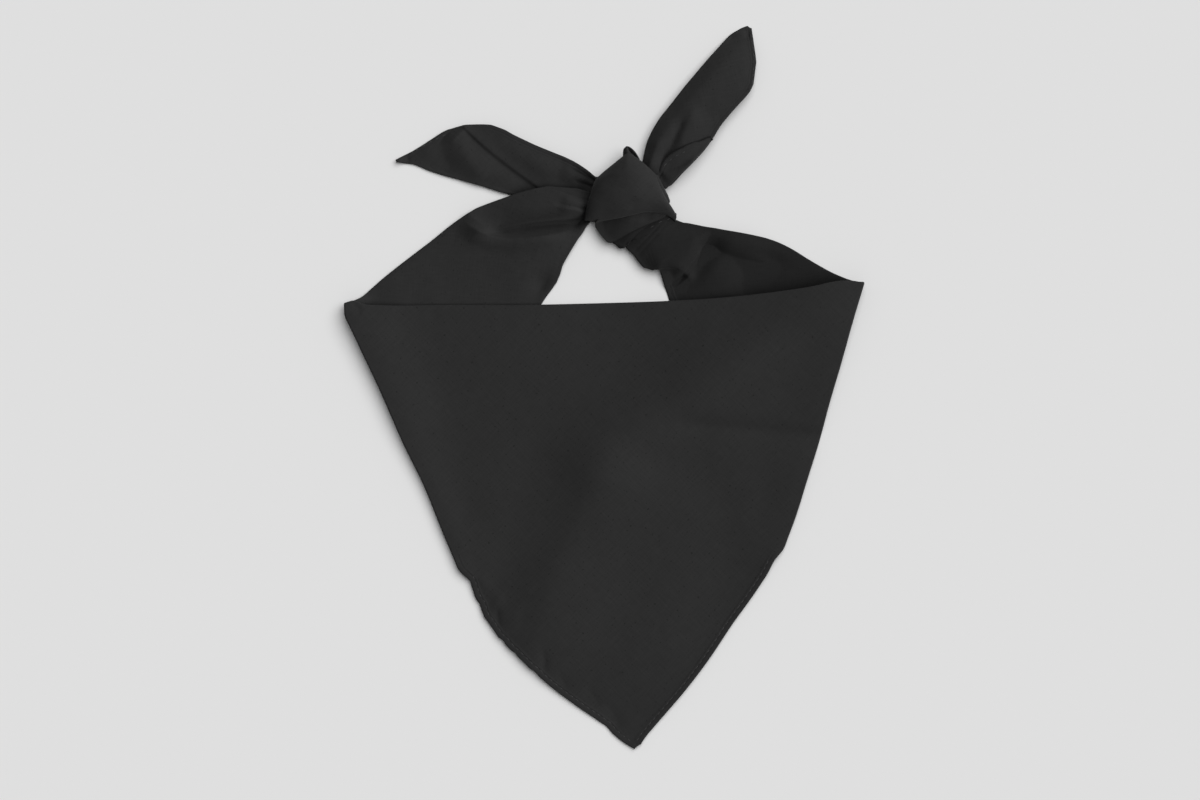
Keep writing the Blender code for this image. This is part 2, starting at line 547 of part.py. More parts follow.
def bib_walls(wings):
    """Inner and outer faces of the front panel with its two side folds."""
    share = np.linspace(0.0, 1.0, BIB_ROWS + 1)
    left = columns(LEFT_FOLD)
    right = columns(RIGHT_FOLD)
    rolls = {}
    for over in (False, True):
        rolls[over] = (side_roll(left, share, over), side_roll(right, share, over))
    left_top = rolls[False][0][:, -1]
    right_top = rolls[False][1][:, -1]

    point = np.array([POINT])
    left_hem = np.vstack((left_top[-1:, :2], columns(LEFT_HEM), point))
    right_hem = np.vstack((point, columns(RIGHT_HEM)[::-1], right_top[-1:, :2]))
    left_hem = curve(left_hem, np.linspace(0.0, 1.0, BIB_COLUMNS_LEFT + 1))
    right_hem = curve(right_hem, np.linspace(0.0, 1.0, BIB_COLUMNS_RIGHT + 1))
    hems = np.vstack((left_hem, right_hem[1:]))
    top = np.vstack((left_top[:1, :2], columns(TOP_EDGE), right_top[:1, :2]))
    top = curve(top, chord_lengths(hems))
    plan = relaxed(coons_patch(top, hems, left_top[:, :2], right_top[:, :2]))
    x = plan[..., 0]
    y = plan[..., 1]

    under_layers = list(wings) + [fold_outline(left), fold_outline(right)]
    outside = np.min([distance_outside(outline, x, y) for outline in under_layers], axis=0)
    height = (WALL + GAP) * (1.0 - ease((outside - WING_MARGIN) / WING_SLOPE))
    below_top = np.hypot(x - x[:1], y - y[:1])
    height += EDGE_LIFT * (height / (WALL + GAP)) * (1.0 - ease(below_top / EDGE_LIFT_WIDTH))
    height += fold_relief(BIB_FOLDS, x, y)
    for side in (left_top, right_top):
        puff = side[:, 2][:, None] - height
        edge_x = side[:, 0][:, None]
        edge_y = side[:, 1][:, None]
        height += puff * (1.0 - ease(np.hypot(x - edge_x, y - edge_y) / PUFF_WIDTH))
    middle = np.stack((x, y, height), axis=2)
    middle_over = over_surface(middle, WALL)

    under = np.concatenate((rolls[False][0], middle[:, 1:-1], rolls[False][1][:, ::-1]), axis=1)
    over = np.concatenate((rolls[True][0], middle_over[:, 1:-1], rolls[True][1][:, ::-1]), axis=1)
    return under, over


def outline_of(grid):
    """Closed outline in plan round a grid of points."""
    sides = (grid[0, :-1], grid[:-1, -1], grid[-1, :0:-1], grid[:0:-1, 0])
    return np.concatenate(sides)[:, :2]


def inset(edge, amount, centre):
    """An edge's points moved in towards the middle of its piece, in plan."""
    inner = edge.copy()
    away = edge[:, :2] - centre
    inner[:, :2] -= away / np.linalg.norm(away, axis=1)[:, None] * amount
    return inner


def wrap_under():
    """Underside of the knot's wrap: a bulge over its rim, steepest at the rim."""
    share = (1.0 - np.cos(np.linspace(0.0, math.pi, KNOT_STEPS + 1))) / 2
    edges = [columns(table) for table in (WRAP_LOW, WRAP_TOP, WRAP_LEFT, WRAP_RIGHT)]
    centre = np.mean([edge[:, :2].mean(axis=0) for edge in edges], axis=0)
    low, top, left, right = (curve(inset(edge, KNOT_INSET, centre), share) for edge in edges)
    grid = coons_patch(low, top, left, right)
    swell = np.sin(np.linspace(0.0, math.pi, KNOT_STEPS + 1)) ** KNOT_FULLNESS
    grid[..., 2] += KNOT_RISE * np.outer(swell, swell)
    return grid


def facing_up(grid):
    """A grid's normals, turned so that they face up."""
    normals = grid_normals(grid)
    return normals if normals[..., 2].mean() > 0 else -normals


def core_walls(wrap):
    """The knot's hidden layers, made from the wrap's own points moved in."""
    inner = slice(CORE_STEP, KNOT_STEPS + 1 - CORE_STEP)
    top = (wrap - facing_up(wrap) * CORE_CLEARANCE)[inner, inner]
    centre = top.reshape(-1, 3).mean(axis=0)
    bottom = centre + (top - centre) * CORE_FOOT
    bottom[..., 2] = 0.0
    return bottom, top


def flap_under(tail):
    """Underside of the turned-over hem: it lies on the tail."""
    grid = strip_under(TAIL_FLAP, FLAP_MESH, (), whole_rise)
    vertices, faces = wall_mesh(*tail)
    tree = BVHTree.FromPolygons([Vector(vertex) for vertex in vertices], faces)
    for point in grid.reshape(-1, 3):
        hit = tree.ray_cast(Vector((point[0], point[1], SEARCH_TOP)), Vector((0.0, 0.0, -1.0)))[0]
        if hit is None:
            hit = tree.find_nearest(Vector((point[0], point[1], SEARCH_NEAR)))[0]
        point[2] += hit.z + FLAP_CLEARANCE
    return grid


def loop_walls():
    """The loop's wall: it comes out from under the wrap's rim and stands up."""
    line = curve(columns(LOOP), np.linspace(0.0, 1.0, LOOP_STATIONS))
    run = np.gradient(line, axis=0)
    aside = np.column_stack((-run[:, 1], run[:, 0]))
    aside /= np.linalg.norm(aside, axis=1)[:, None]
    levels = columns(LOOP_LEVELS)
    middle = np.array([np.column_stack((line - aside * tuck, np.full(len(line), z)))
                       for z, tuck in levels])
    normals = grid_normals(middle)
    return middle - normals * (WALL / 2), middle + normals * (WALL / 2)


def main():
    remove_all_objects()
    cloth = bpy.data.objects.new("bandana", None)
    bpy.context.scene.collection.objects.link(cloth)

    top_edge = columns(TOP_EDGE)

    def above_front(x, y):
        clear = y - np.interp(x, top_edge[:, 0], top_edge[:, 1]) - CALM_START
        return ease(clear / CALM_WIDTH)

    left_wing = wing_sections(LEFT_FOLD, LEFT_BAND)
    right_wing = wing_sections(RIGHT_FOLD, RIGHT_BAND)
    left_band = strip_under(left_wing, BAND_LEFT_MESH, LEFT_BAND_FOLDS, above_front)
    right_band = strip_under(right_wing, BAND_RIGHT_MESH, RIGHT_BAND_FOLDS, above_front)
    bib = bib_walls((outline_of(left_band), outline_of(right_band)))
    left_tail = strip_under(LEFT_TAIL, TAIL_LEFT_MESH, LEFT_TAIL_FOLDS, whole_rise)
    right_tail = strip_under(RIGHT_TAIL, TAIL_RIGHT_MESH, RIGHT_TAIL_FOLDS, whole_rise)
    right_tail_over = over_surface(right_tail, WALL)
    flap = flap_under((right_tail, right_tail_over))
    wrap = wrap_under()
    side_fold = strip_under(SIDE_FOLD, SIDE_FOLD_MESH, (), whole_rise)

    add_wall("bib", *bib, cloth)
    add_wall("band_left", left_band, over_surface(left_band, WALL), cloth)
    add_wall("band_right", right_band, over_surface(right_band, WALL), cloth)
    add_wall("tail_left", left_tail, over_surface(left_tail, WALL), cloth)
    add_wall("tail_right", right_tail, right_tail_over, cloth)
    add_wall("tail_right_flap", flap, over_surface(flap, WALL), cloth)
    add_wall("knot_core", *core_walls(wrap), cloth)
    add_wall("knot_wrap", wrap, wrap + facing_up(wrap) * WALL, cloth)
    add_wall("knot_side_fold", side_fold, over_surface(side_fold, WALL), cloth)
    add_wall("knot_loop", *loop_walls(), cloth)


main()
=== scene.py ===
import math
from collections import namedtuple

import bpy
import numpy as np
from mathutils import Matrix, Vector
from mathutils.bvhtree import BVHTree


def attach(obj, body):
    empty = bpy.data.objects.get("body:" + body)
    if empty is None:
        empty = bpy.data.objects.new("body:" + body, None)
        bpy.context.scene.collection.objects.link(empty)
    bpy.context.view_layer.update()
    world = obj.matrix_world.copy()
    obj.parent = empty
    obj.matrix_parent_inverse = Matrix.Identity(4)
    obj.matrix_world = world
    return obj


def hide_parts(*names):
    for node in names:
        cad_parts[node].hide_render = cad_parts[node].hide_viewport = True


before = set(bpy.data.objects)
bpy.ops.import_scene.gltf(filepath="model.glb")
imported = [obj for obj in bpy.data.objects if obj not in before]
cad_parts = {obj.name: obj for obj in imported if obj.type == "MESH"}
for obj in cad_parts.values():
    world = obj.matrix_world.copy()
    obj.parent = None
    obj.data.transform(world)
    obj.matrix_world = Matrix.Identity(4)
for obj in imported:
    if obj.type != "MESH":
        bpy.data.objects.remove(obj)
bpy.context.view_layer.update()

mm = 0.001  # lengths below are millimetres, and meshes are in metres

# A crease is a ridge, or a trough where its height is negative, along a bent line.
# It fades out at both ends, and its left and right slopes have their own widths.
crease = namedtuple("crease", "x0 y0 xm ym x1 y1 height left right")
lift = namedtuple("lift", "x y height width")      # a rounded rise in the cloth
pucker = namedtuple("pucker", "x y height width")  # a rounded nick in an edge, seen from above

cloth = {
    "thick": 0.45,          # of one layer
    "edgeRadius": 0.6,      # of a turned edge, half of the CAD wall
    "edgeSteps": 6,         # round a turned edge
    "edgeEvening": 8,       # passes that even out an edge's directions
    "underSteps": 4,        # across the layer that is turned under
    "turnTaper": 5.0,       # that layer is narrower this near to a corner
    "underShare": 0.42,     # of the piece's width, at most
    "underGap": 0.1,        # that layer stays this much under dips in the cloth
    "insetStep": 0.5,
    "insetClear": 0.97,     # an inset point is dropped if it is nearer to the outline than this share
    "calmShare": 0.25,      # of a trough's depth is left at an edge
    "levelRim": 1.6,        # a strip is level this near to its edges, where its solid is rounded off
    "waves": 14,            # in one rumple
    "waveLengths": (0.7, 1.9),  # as shares of a rumple's size
    "rayHeight": 60.0,      # rays start here when they look for a surface
    "lookUp": 0.08,         # a face belongs to the top if its normal rises more than this
    "creaseSoftness": 0.6,  # how round a crease's own line is, as a share of its width
    "creaseSteps": 20,
    "creaseFade": 4.0,      # a crease is whole from this fraction of its length on
}


def cadSurface(node):
    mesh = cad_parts[node].data
    mesh.calc_loop_triangles()
    points = np.empty(len(mesh.vertices) * 3)
    mesh.vertices.foreach_get("co", points)
    corners = np.empty(len(mesh.loop_triangles) * 3, dtype=np.int32)
    mesh.loop_triangles.foreach_get("vertices", corners)
    merged, index = np.unique(np.round(points.reshape(-1, 3) / mm, 3), axis=0, return_inverse=True)
    triangles = index.ravel()[corners].reshape(-1, 3)
    whole = (triangles[:, 0] != triangles[:, 1]) & (triangles[:, 1] != triangles[:, 2])
    triangles = triangles[whole & (triangles[:, 2] != triangles[:, 0])]
    tree = BVHTree.FromPolygons([Vector(point) for point in merged], triangles.tolist())
    return {"points": merged, "triangles": triangles, "tree": tree}


def pieceTree(piece):
    # a made piece as a surface to drop points on, in millimetres
    points = [vertex.co / mm for vertex in piece.data.vertices]
    return BVHTree.FromPolygons(points, [face.vertices[:] for face in piece.data.polygons])


def topOutline(surface):
    # the widest closed edge of the faces that look up, anticlockwise from above
    points = surface["points"]
    triangles = surface["triangles"]
    a, b, c = (points[triangles[:, k]] for k in range(3))
    normals = np.cross(b - a, c - a)
    up = triangles[normals[:, 2] > cloth["lookUp"] * np.linalg.norm(normals, axis=1) + 1e-9]
    directed = {(int(t[k]), int(t[(k + 1) % 3])) for t in up for k in range(3)}
    following = {}
    for start, end in sorted(directed):
        if (end, start) not in directed:
            following.setdefault(start, []).append(end)
    best, bestArea = None, 0.0
    while following:
        start = next(iter(following))
        loop = [start]
        at = start
        while following.get(at):
            at = following[at].pop()
            if at == start:
                break
            loop.append(at)
        following = {key: ends for key, ends in following.items() if ends}
        x, y = points[loop, 0], points[loop, 1]
        area = float(np.sum(x * np.roll(y, -1) - y * np.roll(x, -1))) / 2
        if area > bestArea:
            best, bestArea = points[loop], area
    return best


def outlineSides(outline, corners):
    # the stretches of an outline between its corners, in the corners' order
    starts = [int(np.argmin(np.hypot(outline[:, 0] - x, outline[:, 1] - y))) for x, y in corners]
    sides = []
    for start, end in zip(starts, starts[1:] + starts[:1]):
        count = (end - start) % len(outline)
        sides.append(outline[(start + np.arange(count + 1)) % len(outline)])
    return sides


def heightsOn(tree, x, y):
    # heights of a surface under points; past its edge, those at its edge
    heights = np.full(x.shape, np.nan)
    down = Vector((0.0, 0.0, -1.0))
    for index in np.ndindex(x.shape):
        hit = tree.ray_cast(Vector((x[index], y[index], cloth["rayHeight"])), down)[0]
        if hit is not None:
            heights[index] = hit.z
    rows = np.atleast_2d(heights)
    for row in rows:
        found = np.flatnonzero(np.isfinite(row))
        if len(found):
            row[:] = np.interp(np.arange(len(row)), found, row[found])
    whole = np.flatnonzero(np.isfinite(rows[:, 0]))
    for k in range(len(rows)):
        if k not in whole:
            rows[k] = rows[whole[np.argmin(np.abs(whole - k))]]
    return heights


def levelRims(z, x, y, width):
    # the cloth keeps its height up to its side edges
    for row, rowX, rowY in zip(z, x, y):
        run = runLength(np.column_stack((rowX, rowY)))
        first = int(np.searchsorted(run, min(width, run[-1] / 4)))
        last = int(np.searchsorted(run, run[-1] - min(width, run[-1] / 4)))
        row[:first] = row[first]
        row[last:] = row[last - 1]


def ease(value):
    t = np.clip(value, 0.0, 1.0)
    return t * t * (3.0 - 2.0 * t)


def runLength(points):
    return np.concatenate(([0.0], np.cumsum(np.linalg.norm(np.diff(points, axis=0), axis=1))))


def alongCurve(points, shares):
    # points at shares of the smooth curve through a row of points
    knots = runLength(points)
    keep = np.concatenate(([True], np.diff(knots) > 1e-6))
    points = points[keep]
    knots = knots[keep] / knots[-1]
    slopes = np.gradient(points, knots, axis=0)
    cell = np.clip(np.searchsorted(knots, shares, side="right") - 1, 0, len(knots) - 2)
    width = (knots[cell + 1] - knots[cell])[:, None]
    t = (shares - knots[cell])[:, None] / width
    start = (1 + 2 * t) * (1 - t) ** 2 * points[cell] + t * (1 - t) ** 2 * width * slopes[cell]
    end = t ** 2 * (3 - 2 * t) * points[cell + 1] + t ** 2 * (t - 1) * width * slopes[cell + 1]
    return start + end


def alongLine(points, shares):
    # points at shares of a dense run of points
    knots = runLength(points[:, :2])
    return np.column_stack([np.interp(shares * knots[-1], knots, column) for column in points.T])


def denseAtEnds(count, amount):
    # shares from 0 to 1, closer together near both ends
    t = np.linspace(0.0, 1.0, count + 1)
    return t - amount * np.sin(2 * math.pi * t) / (2 * math.pi)


def insetSide(side, distance):
    # a side moved to its left, in plan, by a distance that may change along it
    run = np.gradient(side[:, :2], axis=0)
    inward = np.column_stack((-run[:, 1], run[:, 0]))
    inward /= np.linalg.norm(inward, axis=1)[:, None]
    moved = side.copy()
    moved[:, :2] += inward * np.reshape(distance, (-1, 1))
    return moved


def patch(low, right, high, left, acrossShares, alongShares):
    # grid inside four sides: rows go from low to high, columns from left to right
    low, high = (alongLine(side, acrossShares) for side in (low, high))
    left, right = (alongLine(side, alongShares) for side in (left, right))
    u = acrossShares[None, :, None]
    v = alongShares[:, None, None]
    corners = (1 - u) * (1 - v) * low[0] + u * (1 - v) * low[-1] + (1 - u) * v * high[0] + u * v * high[-1]
    return (1 - v) * low[None] + v * high[None] + (1 - u) * left[:, None] + u * right[:, None] - corners


def betweenEdges(left, right, acrossShares, alongShares):
    # grid of straight rows from one long edge to the other
    left, right = (alongLine(side, alongShares)[:, None] for side in (left, right))
    u = acrossShares[None, :, None]
    return (1 - u) * left + u * right


def evened(grid, passes):
    # smooths a grid inside its edges
    for _ in range(passes):
        for axis in (0, 1):
            g = np.moveaxis(grid, axis, 0)
            before = np.concatenate((2 * g[:1] - g[1:2], g[:-1]))
            after = np.concatenate((g[1:], 2 * g[-1:] - g[-2:-1]))
            grid = np.moveaxis((before + 2 * g + after) / 4, 0, axis)
    return grid


def gridNormals(grid):
    normals = np.cross(np.gradient(grid, axis=1), np.gradient(grid, axis=0))
    return normals / np.maximum(np.linalg.norm(normals, axis=2, keepdims=True), 1e-9)


def sideDistance(side, x, y):
    # distance in plan from each point to a side
    distance = np.full(x.shape, np.inf)
    for (ax, ay), (bx, by) in zip(side[:-1, :2], side[1:, :2]):
        runX, runY = bx - ax, by - ay
        t = np.clip(((x - ax) * runX + (y - ay) * runY) / max(runX ** 2 + runY ** 2, 1e-9), 0.0, 1.0)
        distance = np.minimum(distance, np.hypot(x - ax - t * runX, y - ay - t * runY))
    return distance


def creaseRelief(creases, x, y):
    total = np.zeros(x.shape)
    share = np.linspace(0.0, 1.0, cloth["creaseSteps"] + 1)
    for c in creases:
        lineX = (1 - share) ** 2 * c.x0 + 2 * share * (1 - share) * c.xm + share ** 2 * c.x1
        lineY = (1 - share) ** 2 * c.y0 + 2 * share * (1 - share) * c.ym + share ** 2 * c.y1
        nearest = np.full(x.shape, np.inf)
        aside = np.zeros(x.shape)
        place = np.zeros(x.shape)
        for k in range(cloth["creaseSteps"]):
            runX, runY = lineX[k + 1] - lineX[k], lineY[k + 1] - lineY[k]
            t = np.clip(((x - lineX[k]) * runX + (y - lineY[k]) * runY) / (runX ** 2 + runY ** 2), 0.0, 1.0)
            awayX, awayY = x - lineX[k] - t * runX, y - lineY[k] - t * runY
            distance = np.hypot(awayX, awayY)
            closer = distance < nearest
            nearest = np.where(closer, distance, nearest)
            aside = np.where(closer, runX * awayY - runY * awayX, aside)
            place = np.where(closer, (k + t) / cloth["creaseSteps"], place)
        width = np.where(aside > 0, c.left, c.right)
        soft = width * cloth["creaseSoftness"]
        fade = ease(cloth["creaseFade"] * np.minimum(place, 1.0 - place))
        total += c.height * fade * np.exp((soft - np.sqrt(nearest ** 2 + soft ** 2)) / width)
    return total


def roundRelief(lifts, x, y):
    total = np.zeros(x.shape)
    for rise in lifts:
        total += rise.height * np.exp(-((x - rise.x) ** 2 + (y - rise.y) ** 2) / rise.width ** 2)
    return total


def rumple(x, y, size, height, seed):
    # soft uneven waves about as long as size
    random = np.random.default_rng(seed)
    total = np.zeros(x.shape)
    for _ in range(cloth["waves"]):
        turn = random.uniform(0.0, math.pi)
        length = size * random.uniform(*cloth["waveLengths"])
        start = random.uniform(0.0, 2 * math.pi)
        total += np.sin(2 * math.pi * (x * math.cos(turn) + y * math.sin(turn)) / length + start)
    return total * height / cloth["waves"] ** 0.5


def relief(form, x, y):
    # everything that stands up from, or sinks into, a piece's own surface
    total = creaseRelief(form["creases"], x, y) + roundRelief(form.get("lifts", ()), x, y)
    for size, height, seed in form["rumples"]:
        total += rumple(x, y, size, height, seed)
    return total


def hemRelief(distance, hem):
    # a hem is thicker up to its stitches, which pull the cloth down along their line
    ridge = hem["rise"] * (1.0 - ease((distance - hem["width"]) / hem["step"]))
    groove = hem["groove"] * np.exp(-((distance - hem["inset"]) / hem["grooveWidth"]) ** 2)
    return ridge - groove


# A grid's points hold x, y and z, then the place on the flat cloth, across and along it.

def alongCloth(grid):
    # the flat cloth's directions for a strip, from the lengths of its rows and columns
    middle = grid.shape[1] // 2
    steps = np.linalg.norm(np.diff(grid, axis=1), axis=2)
    across = np.concatenate((np.zeros((len(grid), 1)), np.cumsum(steps, axis=1)), axis=1)
    across -= across[:, middle:middle + 1]
    along = np.broadcast_to(runLength(grid[:, middle])[:, None], across.shape)
    return np.concatenate((grid, np.stack((across, along), axis=2)), axis=2)


def upNormals(grid):
    normals = gridNormals(grid[..., :3])
    return normals if normals[..., 2].mean() > 0 else -normals


def evenedAlong(vectors, passes):
    # unit vectors along an edge, evened out with their neighbours
    for _ in range(passes):
        middle = vectors[:-2] + 2 * vectors[1:-1] + vectors[2:]
        vectors = np.vstack((vectors[:1], middle / 4, vectors[-1:]))
    return vectors / np.maximum(np.linalg.norm(vectors, axis=1)[:, None], 1e-9)


def turnedUnder(grid, radius, reach, drop, level, width, square):
    # turns column 0 of a grid down round a radius, and back under the cloth for its reach
    rows = len(grid)
    radius = np.broadcast_to(radius, rows)[:, None]
    width = radius if width is None else np.minimum(radius, width)
    edge = grid[:, 0, :3]
    ends = runLength(edge)
    reach = np.broadcast_to(reach, rows) * ease(np.minimum(ends, ends[-1] - ends) / cloth["turnTaper"])
    flat = np.tile((0.0, 0.0, 1.0), (rows, 1))
    up = flat if level else evenedAlong(upNormals(grid)[:, 2], cloth["edgeEvening"])
    out = edge - grid[:, 1, :3]
    if square:
        across = np.cross(np.gradient(edge, axis=0), up)
        out = across * np.sign(np.sum(across * out))
    out = evenedAlong(out / np.linalg.norm(out, axis=1)[:, None], cloth["edgeEvening"])
    out -= np.sum(out * up, axis=1)[:, None] * up
    out /= np.linalg.norm(out, axis=1)[:, None]
    wayOut = grid[:, 0, 3:] - grid[:, 1, 3:]
    wayOut /= np.linalg.norm(wayOut, axis=1)[:, None]
    columns = []
    for step in range(1, cloth["edgeSteps"] + 1):
        angle = math.pi * step / cloth["edgeSteps"]
        place = edge + out * width * math.sin(angle) - up * radius * (1 - math.cos(angle))
        columns.append(np.hstack((place, grid[:, 0, 3:] + wayOut * radius * angle)))
    steps = np.linalg.norm(np.diff(grid[..., :3], axis=1), axis=2)
    runs = np.concatenate((np.zeros((rows, 1)), np.cumsum(steps, axis=1)), axis=1)
    for step in range(1, cloth["underSteps"] + 1):
        under = np.empty((rows, 5))
        for i in range(rows):
            at = min(reach[i], cloth["underShare"] * runs[i, -1]) * step / cloth["underSteps"]
            for axis in range(3):
                under[i, axis] = np.interp(at, runs[i], grid[i, :, axis])
            if square:
                place = edge[i] - out[i] * at
                under[i, :2] = place[:2]
                under[i, 2] = min(under[i, 2], place[2]) - cloth["underGap"]
            under[i, :3] -= 2 * radius[i, 0] * up[i]
            under[i, 2] -= drop * step / cloth["underSteps"]
            under[i, 3:] = grid[i, 0, 3:] + wayOut[i] * (math.pi * radius[i, 0] + at)
        columns.append(under)
    return np.concatenate((np.stack(columns[::-1], axis=1), grid), axis=1)


def turnedSides(grid, sides, level=False, width=None):
    # sides: which side of the grid, the edge's radius, how far it comes back, and its drop
    for side, radius, reach, drop in sides:
        how = (radius, reach, drop, level, width, side in ("left", "right"))
        if side == "left":
            grid = turnedUnder(grid, *how)
        elif side == "right":
            grid = turnedUnder(grid[:, ::-1], *how)[:, ::-1]
        elif side == "low":
            grid = turnedUnder(grid.swapaxes(0, 1), *how).swapaxes(0, 1)
        else:
            grid = turnedUnder(grid[::-1].swapaxes(0, 1), *how).swapaxes(0, 1)[::-1]
    return grid


def newObject(name, data):
    made = bpy.data.objects.new(name, data)
    bpy.context.scene.collection.objects.link(made)
    return made


def newMesh(name, points, edges, faces):
    # from points in millimetres
    mesh = bpy.data.meshes.new(name)
    mesh.from_pydata((np.asarray(points) * mm).tolist(), edges, faces)
    return mesh


def addPiece(name, mesh, nodes=()):
    piece = newObject(name, mesh)
    if nodes:
        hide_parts(*nodes)
    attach(piece, "root")
    return piece


def finishedMesh(draft, name):
    # the mesh that a draft's modifiers make; the draft itself is removed
    bpy.context.view_layer.update()
    made = bpy.data.meshes.new_from_object(draft.evaluated_get(bpy.context.evaluated_depsgraph_get()))
    bpy.data.objects.remove(draft)
    made.name = name
    return made


def layWeave(mesh, way):
    # a UV map with each face corner's place on the flat cloth, in metres
    layer = mesh.uv_layers.new(name="clothWay")
    layer.data.foreach_set("uv", (way * mm).astype(np.float32).ravel())


def clothPiece(name, grid, material, nodes):
    # a thin closed shell under a grid
    rows, cols = grid.shape[:2]
    normals = gridNormals(grid[..., :3])
    turned = normals[rows // 2, cols // 2, 2] < 0
    if turned:
        normals = -normals
    outer = grid[..., :3].copy()
    outer[..., 2] = np.maximum(outer[..., 2], 0.0)
    inner = outer - normals * cloth["thick"]
    count = rows * cols
    index = np.arange(count).reshape(rows, cols)
    a, b, c, d = index[:-1, :-1], index[:-1, 1:], index[1:, 1:], index[1:, :-1]
    outerFaces = np.stack((a, b, c, d), axis=2).reshape(-1, 4)
    rim = np.concatenate((index[0, :-1], index[:-1, -1], index[-1, :0:-1], index[:0:-1, 0]))
    after = np.roll(rim, -1)
    rimFaces = np.stack((rim, rim + count, after + count, after), axis=1)
    faces = np.concatenate((outerFaces, outerFaces[:, ::-1] + count, rimFaces))
    if turned:
        faces = faces[:, ::-1]
    points = np.concatenate((outer.reshape(-1, 3), inner.reshape(-1, 3)))
    mesh = newMesh(name, points, [], faces.tolist())
    mesh.shade_smooth()
    mesh.materials.append(material)
    way = np.tile(grid[..., 3:].reshape(-1, 2), (2, 1))
    layWeave(mesh, way[faces.ravel()])
    return addPiece(name, mesh, nodes)


def insetSides(sides, distance):
    # four sides moved in, in plan, so that they still meet at their corners
    closed = np.vstack([side[:-1, :2] for side in sides] + [sides[0][:1, :2]])
    moved = []
    for side in sides:
        count = max(8, int(runLength(side[:, :2])[-1] / cloth["insetStep"]))
        inner = insetSide(alongCurve(side[:, :2], np.linspace(0.0, 1.0, count + 1)), distance)
        clear = sideDistance(closed, inner[:, 0], inner[:, 1]) > cloth["insetClear"] * distance
        moved.append(inner[clear])
    for k in range(4):
        if len(moved[k]) < 2:  # a tip too narrow to hold its own inset side
            moved[k] = np.linspace(moved[k - 1][-1], moved[(k + 1) % 4][0], 5)
    corners = [(moved[k - 1][-1] + moved[k][0]) / 2 for k in range(4)]
    return [np.vstack((corners[k], moved[k][1:-1], corners[(k + 1) % 4])) for k in range(4)]


def stripPiece(name, node, strip, material):
    # one stretch of the cloth: laid on its CAD solid, evened out, then creased
    surface = cadSurface(node)
    sides = [side[:, :2] for side in outlineSides(topOutline(surface), strip["corners"])]
    rightEnd, leftEnd = strip.get("beyond", ((), ()))
    if rightEnd:
        sides[1] = np.vstack((sides[1], rightEnd))
    if leftEnd:
        sides[3] = np.vstack((leftEnd, sides[3]))
    for number, points in strip["ownSides"].items():
        sides[number] = np.array(points)
        before, after = (number - 1) % 4, (number + 1) % 4
        sides[before] = np.vstack((sides[before], points[0]))
        sides[after] = np.vstack((points[-1], sides[after]))
    sides = insetSides(sides, cloth["edgeRadius"])
    edges = {"left": sides[3][::-1], "right": sides[1]}
    across = denseAtEnds(strip["columns"], strip["dense"])
    along = np.linspace(0.0, 1.0, strip["rows"] + 1) ** strip["towardsEnd"]
    plan = betweenEdges(edges["left"], edges["right"], across, along)
    x, y = plan[..., 0], plan[..., 1]
    away = {side: sideDistance(edge, x, y) for side, edge in edges.items()}
    z = heightsOn(surface["tree"], x, y)
    levelRims(z, x, y, cloth["levelRim"])
    form = relief(strip, x, y)
    calm = ease(np.minimum(away["left"], away["right"]) / strip["edgeCalm"])
    form = np.where(form < 0.0, form * (cloth["calmShare"] + (1.0 - cloth["calmShare"]) * calm), form)
    z = evened(z, strip["evening"]) + form
    for side, hem in strip.get("hems", ()):
        z += hemRelief(away[side] + cloth["edgeRadius"], hem)
    for side, depth, width in strip.get("falls", ()):
        z -= depth * np.exp(-away[side] / width)
    grid = alongCloth(np.stack((x, y, z), axis=2))
    turned = [(side, cloth["edgeRadius"], strip["turnedUnder"], 0.0) for side in ("left", "right")]
    return clothPiece(name, turnedSides(grid, turned), material, (node,))


def swell(share, start, end):
    # 0 at both ends and 1 at its highest; smaller powers are fuller at that end
    top = start / (start + end)
    return share ** start * (1 - share) ** end / (top ** start * (1 - top) ** end)


def railGrid(form):
    # grid between four rails, with the shares of its rows and columns
    shares = np.linspace(0.0, 1.0, form["railPoints"])
    rails = [alongCurve(np.array(form[side]), shares) for side in ("low", "right", "high", "left")]
    across = denseAtEnds(form["columns"], form["dense"])
    along = denseAtEnds(form["rows"], form["dense"])
    return patch(*rails, across, along), across, along


def pleatPiece(name, nodes, form, base, material):
    # a fold of the cloth between four rails in plan, lying on the piece below it
    plan = railGrid(form)[0]
    x, y = plan[..., 0], plan[..., 1]
    z = evened(heightsOn(pieceTree(base), x, y), form["evening"]) + form["over"] + relief(form, x, y)
    grid = turnedSides(alongCloth(np.stack((x, y, z), axis=2)), form["turned"])
    return clothPiece(name, grid, material, nodes)


def railPiece(name, nodes, form, material):
    # a stretch of cloth between its own four rails, swollen, then creased
    grid, across, along = railGrid(form)
    fullness = np.outer(swell(along, *form["fullAlong"]), swell(across, *form["fullAcross"]))
    grid[..., 2] += form["rise"] * fullness
    grid[..., 2] += relief(form, grid[..., 0], grid[..., 1])
    return clothPiece(name, turnedSides(alongCloth(grid), form["turned"]), material, nodes)


def addNode(tree, kind, x, y, **settings):
    node = tree.nodes.new(kind)
    node.location = (x, y)
    for name, value in settings.items():
        setattr(node, name, value)
    return node


def setInputs(node, values):
    for name, value in values.items():
        node.inputs[name].default_value = value


def newMaterial(name, look):
    # a material with its node tree and surface node
    material = bpy.data.materials.new(name)
    material.use_nodes = True
    surface = material.node_tree.nodes["Principled BSDF"]
    setInputs(surface, look)
    return material, material.node_tree, surface


